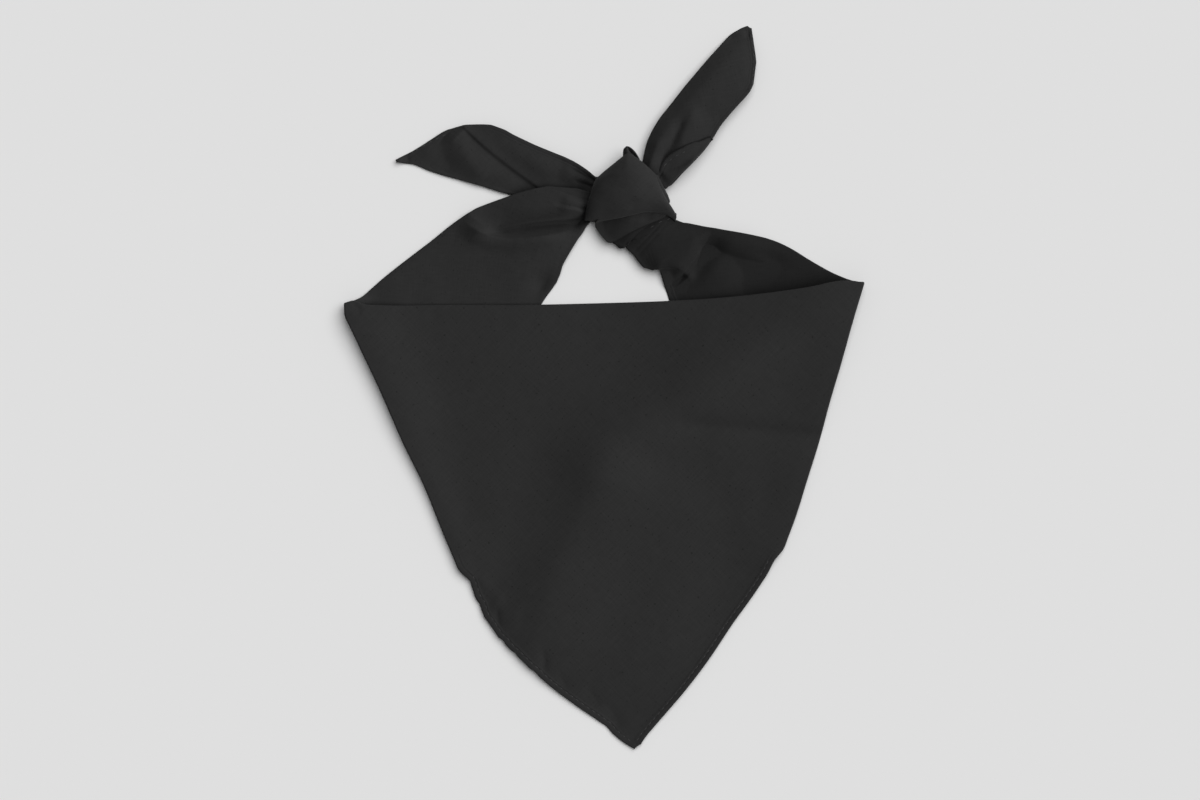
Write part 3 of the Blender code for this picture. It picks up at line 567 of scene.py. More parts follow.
def newGroup(name, kind, inputs, outputs, reach):
    # a node group with its input node on the left and its output node on the right
    group = bpy.data.node_groups.new(name, kind)
    for side, sockets in (("INPUT", inputs), ("OUTPUT", outputs)):
        for label, shape in sockets.items():
            group.interface.new_socket(name=label, in_out=side, socket_type="NodeSocket" + shape)
    return group, addNode(group, "NodeGroupInput", -reach, 0), addNode(group, "NodeGroupOutput", reach, 0)


def mathNode(tree, operation, first, second, x, y):
    node = addNode(tree, "ShaderNodeMath", x, y, operation=operation)
    for socket, value in zip(node.inputs, (first, second)):
        if value is None:
            continue
        if isinstance(value, (int, float)):
            socket.default_value = value
        else:
            tree.links.new(value, socket)
    return node.outputs[0]


weaveLook = {
    "turn": 45.0,            # degrees: the cloth hangs by its diagonal
    "slubStretch": (1.3, 0.11),
    "slubDetail": 3.0,
    "slubHeight": 2.0,
    "fleckScale": 0.75,
    "fleckRange": (0.73, 0.80),  # of its noise: only the highest spots are flecks
    "cloudScale": 0.03,
    "cloudTone": 0.14,
    "threadTone": 0.16,
    "threadMiddle": 0.6,     # a thread's mean height, which keeps the cloth's own shade
    "darkest": 0.2,
}


def wovenCottonGroup():
    # plain weave seen close to: crossing threads, slubs along them, and a few dark flecks
    inputs = {"Way": "Vector", "Threads per mm": "Float", "Slub": "Float", "Fleck": "Float", "Shade": "Color"}
    outputs = {"Color": "Color", "Height": "Float"}
    group, source, result = newGroup("wovenCotton", "ShaderNodeTree", inputs, outputs, 1400)
    link = group.links.new

    def work(operation, first, second, x, y):
        return mathNode(group, operation, first, second, x, y)

    turn = addNode(group, "ShaderNodeMapping", -1200, 0)
    setInputs(turn, {"Rotation": (0.0, 0.0, math.radians(weaveLook["turn"])), "Scale": (1 / mm,) * 3})
    link(source.outputs["Way"], turn.inputs["Vector"])
    parts = addNode(group, "ShaderNodeSeparateXYZ", -1000, 0)
    link(turn.outputs[0], parts.inputs[0])
    waves = []
    for part, y in ((0, 150), (1, -150)):
        place = work("MULTIPLY", parts.outputs[part], source.outputs["Threads per mm"], -800, y)
        waves.append(work("SINE", work("MULTIPLY", place, math.pi, -650, y), None, -500, y))
    warpWave, weftWave = waves
    checker = work("GREATER_THAN", work("MULTIPLY", warpWave, weftWave, -350, 0), 0.0, -200, 0)
    weave = addNode(group, "ShaderNodeMix", 0, 100, data_type="FLOAT")
    link(checker, weave.inputs["Factor"])
    link(work("ABSOLUTE", weftWave, None, -350, -200), weave.inputs["A"])
    link(work("ABSOLUTE", warpWave, None, -350, 200), weave.inputs["B"])

    def noise(vector, scale, detail, y):
        node = addNode(group, "ShaderNodeTexNoise", -600, y, noise_dimensions="2D")
        setInputs(node, {"Scale": scale, "Detail": detail})
        link(vector, node.inputs["Vector"])
        return node.outputs["Fac"]

    slubs = []
    thin, long = weaveLook["slubStretch"]
    for stretch, y in (((thin, long, 1.0), -400), ((long, thin, 1.0), -600)):
        stretched = addNode(group, "ShaderNodeMapping", -800, y)
        setInputs(stretched, {"Scale": stretch})
        link(turn.outputs[0], stretched.inputs["Vector"])
        slubs.append(noise(stretched.outputs[0], 1.0, weaveLook["slubDetail"], y))
    slub = work("SUBTRACT", work("ADD", slubs[0], slubs[1], -400, -500), 1.0, -250, -500)
    slub = work("MULTIPLY", slub, source.outputs["Slub"], -100, -500)

    rare = addNode(group, "ShaderNodeMapRange", -400, -850)
    setInputs(rare, {"From Min": weaveLook["fleckRange"][0], "From Max": weaveLook["fleckRange"][1]})
    link(noise(turn.outputs[0], weaveLook["fleckScale"], 1.0, -850), rare.inputs["Value"])
    fleck = work("MULTIPLY", rare.outputs[0], source.outputs["Fleck"], -200, -850)
    clouds = noise(turn.outputs[0], weaveLook["cloudScale"], 2.0, -1100)
    wear = work("SUBTRACT", clouds, 0.5, -400, -1100)
    wear = work("MULTIPLY", wear, weaveLook["cloudTone"], -200, -1100)

    height = weave.outputs[0]
    tone = work("SUBTRACT", height, weaveLook["threadMiddle"], 150, 100)
    tone = work("MULTIPLY", tone, weaveLook["threadTone"], 300, 100)
    tone = work("SUBTRACT", work("ADD", tone, slub, 450, 0), fleck, 550, -100)
    tone = work("ADD", work("ADD", tone, wear, 650, -100), 1.0, 700, 50)
    tone = work("MAXIMUM", tone, weaveLook["darkest"], 760, 50)
    shaded = addNode(group, "ShaderNodeVectorMath", 850, 100, operation="SCALE")
    link(source.outputs["Shade"], shaded.inputs[0])
    link(tone, shaded.inputs["Scale"])
    link(shaded.outputs[0], result.inputs["Color"])
    slubHeight = work("MULTIPLY", slub, weaveLook["slubHeight"], 450, -300)
    link(work("ADD", height, slubHeight, 600, -300), result.inputs["Height"])
    return group


cottonGroup = wovenCottonGroup()

cottonLook = {
    "surface": {"Roughness": 0.88, "Specular IOR Level": 0.2, "Sheen Weight": 0.05, "Sheen Roughness": 0.5},
    "weave": {"Threads per mm": 2.5, "Slub": 0.3, "Fleck": 0.45},
    "bump": {"Strength": 0.2, "Distance": 0.00012},  # metres, from the hollow between threads to their tops
}


def cottonMaterial(name, shade):
    material, tree, surface = newMaterial(name, cottonLook["surface"])
    way = addNode(tree, "ShaderNodeUVMap", -900, 0, uv_map="clothWay")
    weave = addNode(tree, "ShaderNodeGroup", -650, 0, node_tree=cottonGroup)
    bump = addNode(tree, "ShaderNodeBump", -350, -200)
    setInputs(weave, {**cottonLook["weave"], "Shade": (shade, shade, shade, 1.0)})
    setInputs(bump, cottonLook["bump"])
    tree.links.new(way.outputs[0], weave.inputs["Way"])
    tree.links.new(weave.outputs["Color"], surface.inputs["Base Color"])
    tree.links.new(weave.outputs["Height"], bump.inputs["Height"])
    tree.links.new(bump.outputs[0], surface.inputs["Normal"])
    return material


frontCotton = cottonMaterial("frontCotton", 0.0185)
bandCotton = cottonMaterial("bandCotton", 0.0185)
# painted shade: a darker copy of the same cotton, for the right band, which faces away from the light
bandCottonPaintedShade = cottonMaterial("bandCottonPaintedShade", 0.0098)
# painted shade: a darker copy of the same cotton, for the upper pleat where it lies in the knot's shade
pleatCottonPaintedShade = cottonMaterial("pleatCottonPaintedShade", 0.0145)
tailCotton = cottonMaterial("tailCotton", 0.0185)
knotCotton = cottonMaterial("knotCotton", 0.0185)


front = {
    "leftCorner": (-116.8, 37.4),
    "rightCorner": (116.9, 46.6),
    "point": (15.0, -163.3),
    "leftTrim": 1.4,       # the point's blunt tip starts this far up the left hem
    "rightTrim": 3.0,
    "cornerGap": 2.5,      # the folded top edge starts this far in from its corners
    "cornerRadius": 0.08,  # of that edge, right at its corners
    "rows": 170,
    "columns": 150,
    "dense": 0.72,         # how much closer columns lie at the edges
    "finer": 3,            # points along a side for each row
    "sideStep": 1.0,       # a side rises at least this much from one kept point to the next
    "tipPoints": 7,        # across the point's blunt tip
    "sidePasses": 5,       # in which a side and its roll are fitted to each other
    "rollEvening": 30,
    "evening": 26,
    "levelRim": 3.0,
    "rollWidth": 0.5,      # of a side fold's roll, seen from above
    "foldReach": 9.0,      # the side folds' under layer
    "hemReach": 3.0,
    "foldEnd": -78.0,      # the side folds end at this y, and the hems begin
    "hemBlend": 6.0,       # above it, over which the hems fade out
    "foldBlend": 8.0,      # above it, over which the folds reach their full width
    "topReach": 4.0,
    "hemLift": 0.7,        # the right hem stands this much proud
    "hemLiftWidth": 4.0,
    "rumples": ((34.0, 0.09, 3), (11.0, 0.03, 5)),
    "creases": (
        crease(134.0, 60.0, 44.0, 6.0, -24.0, -44.0, 4.4, 12.0, 20.0),
        crease(8.0, -20.0, -14.0, -60.0, -40.0, -150.0, 3.8, 24.0, 12.0),
        crease(120.0, -25.0, 78.0, -19.5, 20.0, -16.0, -2.4, 5.5, 3.6),
        crease(-48.0, -99.0, -47.4, -103.0, -47.8, -108.5, -0.5, 0.9, 1.2),
        crease(-27.6, -117.0, -25.8, -123.0, -27.6, -129.5, -0.55, 1.1, 1.4),
        crease(-21.0, -127.0, -18.6, -131.0, -16.5, -136.0, -0.4, 1.8, 2.2),
        crease(-8.0, -133.0, -4.0, -139.0, -1.0, -146.0, -0.45, 2.2, 2.6),
        crease(0.0, -141.0, 4.6, -147.0, 8.0, -154.0, -0.4, 2.0, 2.4),
        crease(-58.0, -84.0, -50.0, -92.0, -44.0, -97.0, 0.6, 2.4, 3.2),
        crease(-52.0, -95.0, -45.0, -101.0, -36.0, -103.0, 0.45, 2.6, 3.4),
        crease(-112.8, 40.0, -111.4, 36.4, -108.4, 33.6, -0.5, 0.8, 1.2),
        crease(-84.0, -14.0, -70.0, -44.0, -52.0, -64.0, -0.7, 8.0, 9.0),
    ),
}
frontHem = {"rise": 0.22, "width": 2.9, "step": 0.9, "groove": 0.2, "inset": 2.5, "grooveWidth": 0.4}
leftPuckers = (
    pucker(-60.6, -87.5, -0.5, 1.7),
    pucker(-58.4, -94.0, 0.35, 1.6),
    pucker(-56.4, -97.9, -0.45, 1.3),
    pucker(-54.0, -103.4, 0.4, 1.7),
    pucker(-47.0, -111.6, 0.3, 1.6),
    pucker(-45.8, -113.9, -0.45, 1.2),
    pucker(-40.3, -119.6, -0.4, 1.2),
    pucker(-33.6, -125.9, 0.2, 1.5),
    pucker(-31.4, -128.5, -0.35, 1.3),
    pucker(0.4, -153.0, -0.35, 1.8),
)


def frontSide(surface, outline, trim, towardsRight, puckers):
    # one side from the tip up to the top corner: its inset line and edge radius
    kept = [outline[-1]]
    for point in outline[-2::-1]:
        if point[1] < kept[-1][1] - front["sideStep"]:
            kept.append(point)  # so the short ends of the side folds are left out
    outline = np.array(kept[::-1])[:, :2]
    shares = np.linspace(trim / runLength(outline)[-1], 1.0, front["rows"] * front["finer"] + 1)
    side = alongCurve(outline, shares)
    side = insetSide(side, roundRelief(puckers, side[:, 0], side[:, 1]))

    def inset(radius):
        return insetSide(side, np.minimum(radius, front["rollWidth"]) * towardsRight)

    radius = np.full(len(side), cloth["edgeRadius"])
    for _ in range(front["sidePasses"]):
        inner = inset(radius)
        radius = np.maximum(heightsOn(surface["tree"], inner[:, 0], inner[:, 1]) / 2, cloth["edgeRadius"])
        radius = np.where(side[:, 1] < front["foldEnd"], cloth["edgeRadius"], radius)
        radius = evened(np.stack((radius, radius), axis=1), front["rollEvening"])[:, 0]
    return inset(radius), radius


def makeFront():
    surface = cadSurface("bib")
    corners = (front["leftCorner"], front["point"], front["rightCorner"])
    leftDown, rightUp, top = outlineSides(topOutline(surface), corners)
    left, leftRadius = frontSide(surface, leftDown[::-1], front["leftTrim"], -1.0, leftPuckers)
    right, rightRadius = frontSide(surface, rightUp, front["rightTrim"], 1.0, ())
    top = alongCurve(top[::-1, :2], np.linspace(0.0, 1.0, 4 * front["columns"]))
    inside = (top[:, 0] > left[-1, 0] + front["cornerGap"]) & (top[:, 0] < right[-1, 0] - front["cornerGap"])
    high = np.vstack((left[-1:], top[inside] - np.array((0.0, cloth["edgeRadius"])), right[-1:]))
    low = np.linspace(left[0], right[0], front["tipPoints"])

    across = denseAtEnds(front["columns"], front["dense"])
    along = np.linspace(0.0, 1.0, front["rows"] + 1)
    plan = patch(low, right, high, left, across, along)
    x, y = plan[..., 0], plan[..., 1]
    z = heightsOn(surface["tree"], x, y)
    levelRims(z, x, y, front["levelRim"])
    z = evened(z, front["evening"]) + relief(front, x, y)
    fromLeft, fromRight = (sideDistance(side[::4], x, y) for side in (left, right))
    inHem = 1.0 - ease((y - front["foldEnd"]) / front["hemBlend"])
    z += hemRelief(np.minimum(fromLeft, fromRight) + cloth["edgeRadius"], frontHem) * inHem
    z += front["hemLift"] * np.exp(-fromRight / front["hemLiftWidth"]) * inHem
    grid = np.stack((x, y, z, x, y), axis=2)

    share = np.linspace(0.0, 1.0, len(leftRadius))
    folded = ease((y[:, 0] - front["foldEnd"]) / front["foldBlend"])
    reach = front["hemReach"] + (front["foldReach"] - front["hemReach"]) * folded
    rolls = []
    for side, column, radius in (("left", 0, leftRadius), ("right", -1, rightRadius)):
        roll = np.minimum(np.interp(along, share, radius), z[:, column] / 2)
        rolls.append((side, roll, reach, 0.0))
    grid = turnedSides(grid, rolls, level=True, width=front["rollWidth"])
    extra = cloth["edgeSteps"] + cloth["underSteps"]
    topRadius = np.full(grid.shape[1], cloth["edgeRadius"])
    topRadius[:extra] = np.linspace(front["cornerRadius"], cloth["edgeRadius"], extra)
    topRadius[-extra:] = topRadius[:extra][::-1]
    topReach = front["topReach"] * topRadius / cloth["edgeRadius"]
    grid = turnedSides(grid, (("high", topRadius, topReach, 0.0),))
    return clothPiece("frontPanel", grid, frontCotton, ("bib",)), left, right


frontPanel, leftHemLine, rightHemLine = makeFront()
print("front panel made")


leftBand = {
    "corners": ((-108.3, 41.1), (-57.0, -78.1), (-7.6, 73.0), (-5.2, 87.4)),
    "beyond": (((-6.4, 74.4), (-2.0, 77.4)), ((0.5, 86.0),)),  # its two edges go on under the knot
    "ownSides": {0: ((-115.4, 37.9), (-110.0, 30.0), (-104.6, 20.0), (-80.8, -22.0), (-57.0, -78.1))},
    "rows": 230,
    "columns": 90,
    "dense": 0.5,
    "towardsEnd": 0.66,    # below 1, rows lie closer together at the knot
    "edgeCalm": 4.5,       # troughs grow shallower this near to an edge
    "evening": 60,
    "turnedUnder": 3.0,    # how far the cloth goes back under itself at both edges
    "rumples": ((22.0, 0.12, 11), (7.0, 0.03, 12)),
    "lifts": (
        lift(-114.0, 37.0, 5.2, 7.5),
        lift(-14.0, 82.0, 1.2, 6.5),
        lift(-27.5, 46.0, -1.4, 5.0),
    ),
    "creases": (
        crease(-72.0, 77.0, -40.0, 86.0, 4.0, 78.0, 1.8, 5.0, 5.0),
        crease(-60.0, 66.0, -34.0, 76.8, 16.0, 77.0, -4.0, 1.1, 4.2),
        crease(-44.0, 72.0, -18.0, 75.4, 16.0, 77.4, -2.4, 0.6, 1.8),
        crease(-70.0, 88.0, -57.0, 71.0, -40.0, 65.0, 0.8, 1.2, 4.0),
        crease(-64.0, 75.0, -48.0, 61.0, -10.0, 71.6, 3.4, 1.1, 5.0),
        crease(-66.0, 68.0, -44.0, 53.0, -12.0, 67.0, -1.2, 2.2, 5.0),
        crease(-23.5, 82.6, -13.0, 81.6, 2.0, 76.4, -1.0, 0.9, 0.6),
        crease(-21.0, 80.6, -12.0, 79.6, 0.0, 76.0, 0.9, 1.3, 1.8),
        crease(-20.0, 88.0, -13.0, 85.6, -2.0, 82.0, -0.6, 0.8, 1.0),
        crease(-20.0, 85.0, -12.0, 83.4, -2.0, 80.4, 0.5, 1.4, 1.2),
        crease(-110.0, 38.0, -76.0, 64.0, -52.0, 84.0, 1.0, 4.0, 8.0),
    ),
}
rightBand = {
    "corners": ((72.0, -69.7), (108.0, 49.3), (35.5, 74.2), (-4.8, 73.0)),
    "beyond": (((33.2, 74.8), (31.2, 75.8), (27.0, 80.0)), ()),
    "ownSides": {
        0: ((72.0, -69.7), (90.0, -10.2), (102.0, 29.0), (108.0, 41.0), (115.6, 46.9)),
        3: ((-3.4, 79.0), (-4.3, 75.6), (-4.7, 72.7), (-2.5, 69.8), (0.0, 66.8), (1.9, 65.1),
            (3.6, 65.1), (4.4, 64.5), (7.3, 62.5), (8.5, 62.9), (9.5, 63.5), (9.9, 62.3), (12.1, 60.5),
            (14.1, 58.3), (15.3, 55.9), (17.5, 54.1), (20.0, 52.1), (22.9, 52.6), (24.8, 52.4), (25.8, 50.2),
            (27.0, 46.3), (28.5, 41.9), (30.0, 37.0), (38.0, 16.0), (47.0, -7.0), (56.5, -31.0),
            (65.0, -52.0), (72.0, -69.7)),
    },
    "rows": 310,
    "columns": 110,
    "dense": 0.4,
    "towardsEnd": 0.5,
    "edgeCalm": 4.5,
    "evening": 60,
    "turnedUnder": 3.0,
    "rumples": ((22.0, 0.12, 21), (7.0, 0.03, 22)),
    "lifts": (
        lift(113.5, 46.0, 2.8, 8.0),
        lift(12.0, 74.0, 1.4, 8.0),
        lift(24.0, 76.0, 1.4, 6.0),
        lift(30.4, 50.9, -1.4, 2.8),
        lift(44.0, 62.0, 0.8, 8.0),
        lift(60.0, 68.0, 1.6, 12.0),
    ),
    "creases": (
        crease(5.0, 52.6, 19.0, 66.6, 28.0, 76.0, -0.3, 0.4, 0.5),
        crease(7.4, 51.6, 21.0, 65.2, 30.0, 75.6, -0.25, 0.5, 0.5),
        crease(20.0, 51.4, 32.0, 58.4, 40.0, 47.6, 2.0, 4.5, 0.6),
        crease(40.5, 53.0, 37.0, 46.6, 26.0, 42.6, 1.6, 1.3, 1.1),
        crease(49.5, 72.0, 38.5, 47.0, 20.0, 40.0, -3.6, 4.2, 1.3),
        crease(39.0, 65.0, 55.0, 60.8, 76.0, 50.5, -2.8, 2.0, 5.0),
        crease(79.0, 62.0, 76.0, 50.0, 60.0, 36.0, -1.6, 6.5, 4.5),
    ),
}
leftBandPiece = stripPiece("leftBand", "band_left", leftBand, bandCotton)
# the right band wears the darker copy of the cotton, which is painted shade
rightBandPiece = stripPiece("rightBand", "band_right", rightBand, bandCottonPaintedShade)

# pleats: the band is gathered in two overlapping folds where it enters the knot
lowerPleat = {
    # rails as x and y
    "low": ((9.4, 63.0), (12.0, 66.2), (14.6, 68.8), (17.2, 71.0), (19.6, 72.8), (22.4, 75.0), (24.0, 77.0),
            (24.6, 79.4)),
    "right": ((24.6, 79.4), (22.6, 80.2)),
    "high": ((-1.0, 75.0), (8.0, 78.4), (16.0, 80.2), (22.6, 80.2)),
    "left": ((9.4, 63.0), (8.4, 62.6), (7.2, 62.4), (5.8, 63.5), (4.4, 64.9), (1.0, 68.0), (-1.0, 75.0)),
    "railPoints": 120,
    "rows": 44,
    "columns": 90,
    "dense": 0.5,
    "evening": 3,
    "over": 0.75,          # above the piece below
    "turned": (("low", 0.3, 1.4, 0.0),),  # side, edge radius, how far it comes back, how far it drops
    "rumples": ((7.0, 0.04, 23),),
    "creases": (
        crease(4.0, 60.0, 14.0, 72.6, 30.0, 78.6, 0.35, 1.2, 1.2),
    ),
}
upperPleat = {
    "low": ((4.2, 65.3), (7.4, 67.1), (11.0, 69.2), (14.6, 71.1), (20.9, 73.8), (24.2, 75.2), (26.6, 76.6),
            (27.8, 78.0), (28.0, 80.0)),
    "right": ((28.0, 80.0), (26.4, 80.8)),
    "high": ((-2.4, 76.0), (4.0, 78.6), (16.0, 80.8), (26.4, 80.8)),
    "left": ((4.2, 65.3), (3.2, 64.9), (2.0, 65.0), (0.0, 66.7), (-2.4, 69.6), (-4.0, 72.6), (-2.4, 76.0)),
    "railPoints": 120,
    "rows": 50,
    "columns": 100,
    "dense": 0.5,
    "evening": 3,
    "over": 0.8,
    "turned": (("low", 0.3, 1.4, 0.0),),
    "rumples": ((7.0, 0.05, 24),),
    "creases": (
        crease(-8.0, 62.0, 14.0, 75.6, 34.0, 77.0, 0.4, 2.0, 1.6),
    ),
}
# both pleats wear darker copies of the cotton, which is painted shade
lowerPleatPiece = pleatPiece("lowerPleat", ("band_right",), lowerPleat, rightBandPiece, bandCottonPaintedShade)
upperPleatPiece = pleatPiece("upperPleat", ("band_right",), upperPleat, lowerPleatPiece, pleatCottonPaintedShade)
print("bands made")


tailHem = {"rise": 0.16, "width": 2.2, "step": 0.7, "groove": 0.16, "inset": 1.9, "grooveWidth": 0.35}
leftTail = {
    "corners": ((-94.0, 102.6), (-93.2, 100.8), (-3.6, 88.2), (-2.8, 94.4)),
    "beyond": (((2.0, 89.0),), ((3.0, 95.0),)),
    "ownSides": {0: ((-93.4, 103.5), (-94.9, 102.4), (-94.4, 100.4), (-92.6, 100.2))},
    "rows": 180,
    "columns": 64,
    "dense": 0.5,
    "towardsEnd": 1.0,
    "edgeCalm": 1.0,
    "evening": 40,
    "turnedUnder": 2.6,
    "hems": (("left", tailHem),),
    "rumples": ((16.0, 0.1, 31), (6.0, 0.03, 32)),
    "lifts": (
        lift(-93.0, 102.0, 1.2, 2.6),
        lift(-79.0, 106.2, 0.7, 3.4),
    ),
    "creases": (
        crease(-68.6, 123.2, -53.0, 105.2, -18.8, 83.2, 0.9, 4.5, 0.6),
        crease(-67.0, 121.0, -55.0, 104.0, -20.0, 83.0, -0.7, 0.9, 5.0),
        crease(-61.0, 122.0, -70.0, 104.0, -50.0, 90.0, 1.1, 4.0, 4.0),
        crease(-67.5, 119.0, -70.0, 114.5, -75.0, 109.5, -0.7, 0.9, 0.9),
        crease(-61.0, 119.0, -63.5, 115.5, -70.0, 108.5, 0.8, 1.0, 1.2),
        crease(-72.0, 112.0, -74.5, 104.0, -66.0, 95.0, -0.6, 3.0, 3.0),
        crease(-16.0, 98.6, -9.0, 95.8, 2.0, 89.0, -1.1, 0.9, 1.2),
        crease(-14.0, 93.2, -8.0, 91.6, 2.0, 87.2, -0.9, 0.8, 1.0),
        crease(-17.5, 104.0, -20.0, 98.0, -21.0, 90.0, -0.6, 2.4, 2.4),
        crease(-88.9, 105.0, -88.2, 103.0, -87.8, 100.6, -0.5, 0.7, 1.2),
    ),
}
rightTail = {
    "corners": ((16.6, 101.4), (27.4, 89.4), (66.4, 162.2), (65.0, 163.3)),
    "ownSides": {0: ((13.6, 98.8), (19.0, 92.4), (25.4, 86.8))},
    "rows": 170,
    "columns": 64,
    "dense": 0.5,
    "towardsEnd": 1.0,
    "edgeCalm": 1.0,
    "evening": 40,
    "turnedUnder": 2.6,
    "hems": (("right", tailHem),),
    "falls": (("left", 1.8, 5.0),),
    "rumples": ((18.0, 0.12, 41), (6.0, 0.03, 42)),
    "lifts": (
        lift(19.4, 99.4, 2.2, 5.0),
        lift(46.5, 123.0, -0.8, 5.0),
        lift(64.4, 159.3, -0.6, 1.6),
    ),
    "creases": (
        crease(17.0, 92.0, 28.0, 124.0, 72.0, 162.0, 1.2, 3.5, 8.0),
        crease(27.0, 98.0, 29.6, 110.0, 37.0, 122.0, -1.4, 1.8, 1.6),
        crease(33.0, 106.0, 36.0, 116.0, 42.0, 128.0, 0.7, 2.0, 2.4),
        crease(18.6, 94.0, 22.0, 104.0, 25.0, 114.0, 0.8, 1.8, 2.0),
        crease(54.0, 157.6, 60.0, 156.0, 68.0, 158.6, -0.7, 0.9, 1.2),
        crease(54.0, 160.0, 60.0, 158.4, 66.0, 160.0, 0.5, 0.8, 0.8),
    ),
}
tailFlap = {
    "corners": ((24.6, 97.4), (29.4, 90.6), (49.6, 113.4), (49.0, 113.6)),
    "ownSides": {0: ((22.8, 94.6), (25.2, 91.4), (27.2, 88.4))},
    "rows": 80,
    "columns": 30,
    "dense": 0.4,
    "towardsEnd": 1.0,
    "edgeCalm": 1.0,
    "evening": 10,
    "turnedUnder": 1.0,
    "hems": (("left", tailHem),),
    "rumples": ((9.0, 0.06, 51),),
    "creases": (
        crease(22.0, 94.0, 30.0, 98.4, 40.0, 102.0, -0.8, 1.0, 0.8),
        crease(26.0, 91.0, 34.0, 97.4, 44.0, 105.0, 0.6, 1.4, 1.6),
    ),
}
leftTailPiece = stripPiece("leftTail", "tail_left", leftTail, tailCotton)
rightTailPiece = stripPiece("rightTail", "tail_right", rightTail, tailCotton)
tailFlapPiece = stripPiece("tailFlap", "tail_right_flap", tailFlap, tailCotton)
print("tails made")


knotWrap = {
    # rails as x, y, z of the cloth's outer side
    "low": ((-8.2, 75.3, 4.6), (-4.6, 74.2, 5.0), (0.0, 74.8, 6.0), (4.8, 75.6, 7.2), (9.7, 76.5, 8.2),
            (14.6, 77.7, 8.8), (18.5, 78.6, 8.6), (22.4, 78.6, 7.8), (26.2, 78.0, 6.8), (28.8, 77.0, 6.2),
            (30.6, 76.0, 5.4), (31.9, 75.0, 4.6)),
    "right": ((31.9, 75.0, 4.6), (32.4, 76.3, 5.4), (32.0, 78.0, 6.6), (30.7, 80.4, 8.0), (29.0, 82.9, 9.2),
              (27.3, 85.8, 10.2), (25.7, 89.0, 10.9), (24.4, 92.0, 11.0), (23.4, 95.2, 10.6)),
    "high": ((-3.6, 93.6, 8.4), (0.2, 97.0, 9.4), (4.2, 100.2, 10.2), (8.1, 103.3, 10.6), (10.4, 104.8, 10.8),
             (12.5, 104.2, 10.8), (14.4, 103.1, 10.8), (16.2, 101.8, 10.8), (19.8, 98.7, 10.8),
             (23.4, 95.2, 10.6)),
    "left": ((-8.2, 75.3, 4.6), (-8.4, 77.0, 6.6), (-7.9, 79.7, 8.4), (-7.1, 83.5, 9.6), (-6.0, 86.9, 9.8),
             (-4.9, 90.8, 9.2), (-3.6, 93.6, 8.4)),
    "railPoints": 160,
    "rows": 110,
    "columns": 110,
    "dense": 0.8,
    "rise": 4.6,
    "fullAlong": (0.5, 0.6),   # powers of its swell at either end
    "fullAcross": (0.5, 0.6),
    "turned": (("left", 0.6, 2.0, 5.0), ("right", 0.4, 2.0, 7.0), ("low", 0.5, 3.0, 0.6),
               ("high", 0.3, 0.8, 5.0)),
    "rumples": ((13.0, 0.1, 61), (5.0, 0.03, 62)),
    "lifts": (
        lift(2.0, 81.0, -0.4, 6.0),
        lift(13.0, 82.2, -0.25, 2.4),
        lift(26.0, 82.0, 0.5, 4.0),
    ),
    "creases": (
        crease(-8.0, 90.0, 2.0, 98.6, 27.0, 95.6, 0.5, 1.2, 3.0),
        crease(-4.0, 77.4, 18.0, 81.6, 38.0, 76.4, 0.6, 1.6, 2.2),
    ),
}
sideFold = {
    "low": ((25.6, 81.0, 4.6), (27.6, 81.2, 4.4), (28.9, 82.1, 4.2)),
    "right": ((28.9, 82.1, 4.2), (29.5, 83.3, 4.8), (29.1, 84.9, 5.6), (27.6, 88.2, 6.8), (26.0, 91.2, 7.4),
              (23.8, 95.2, 7.8)),
    "high": ((19.4, 94.4, 8.6), (21.8, 95.2, 8.4), (23.8, 95.2, 7.8)),
    "left": ((25.6, 81.0, 4.6), (23.4, 83.6, 5.8), (21.0, 86.8, 7.0), (19.4, 90.8, 8.2), (19.4, 94.4, 8.6)),
    "railPoints": 60,
    "rows": 60,
    "columns": 24,
    "dense": 0.4,
    "rise": 1.3,
    "fullAlong": (0.8, 0.8),
    "fullAcross": (1.0, 0.7),
    "turned": (("right", 0.4, 2.4, 3.0), ("low", 0.4, 1.2, 2.0)),
    "rumples": ((6.0, 0.05, 71),),
    "creases": (
        crease(28.6, 79.0, 25.4, 86.6, 23.0, 97.0, -0.5, 0.8, 0.8),
    ),
}
knotWrapPiece = railPiece("knotWrap", ("knot_wrap",), knotWrap, knotCotton)
sideFoldPiece = railPiece("knotSideFold", ("knot_side_fold",), sideFold, knotCotton)

knotLoop = {
    "line": ((9.7, 107.7), (10.6, 107.8), (11.6, 107.4), (12.7, 106.5), (13.9, 105.2), (14.9, 103.6),
             (15.8, 102.0)),
    "foot": 3.6,
    "top": 9.0,
    "tuckAtFoot": 1.8,    # the wall leans in this much at its foot
    "half": 0.35,         # half of the folded band's thickness
    "stations": 44,
    "levels": 12,
}


def makeLoop():
    line = alongCurve(np.array(knotLoop["line"]), np.linspace(0.0, 1.0, knotLoop["stations"] + 1))
    run = np.gradient(line, axis=0)
    outward = np.column_stack((-run[:, 1], run[:, 0])) / np.linalg.norm(run, axis=1)[:, None]
    foot, top, half = (knotLoop[key] for key in ("foot", "top", "half"))
    levels = np.linspace(foot, top, knotLoop["levels"] + 1)
    profile = [(half, z) for z in levels]
    for step in range(1, cloth["edgeSteps"]):
        angle = math.pi * step / cloth["edgeSteps"]
        profile.append((half * math.cos(angle), top + half * math.sin(angle)))
    profile += [(-half, z) for z in levels[::-1]]
    rows = []
    for offset, z in profile:
        lean = knotLoop["tuckAtFoot"] * (top - z) / (top - foot)
        plan = line + outward * (offset - max(lean, 0.0))
        rows.append(np.column_stack((plan, np.full(len(line), z))))
    return clothPiece("knotLoop", alongCloth(np.array(rows)), knotCotton, ("knot_loop",))


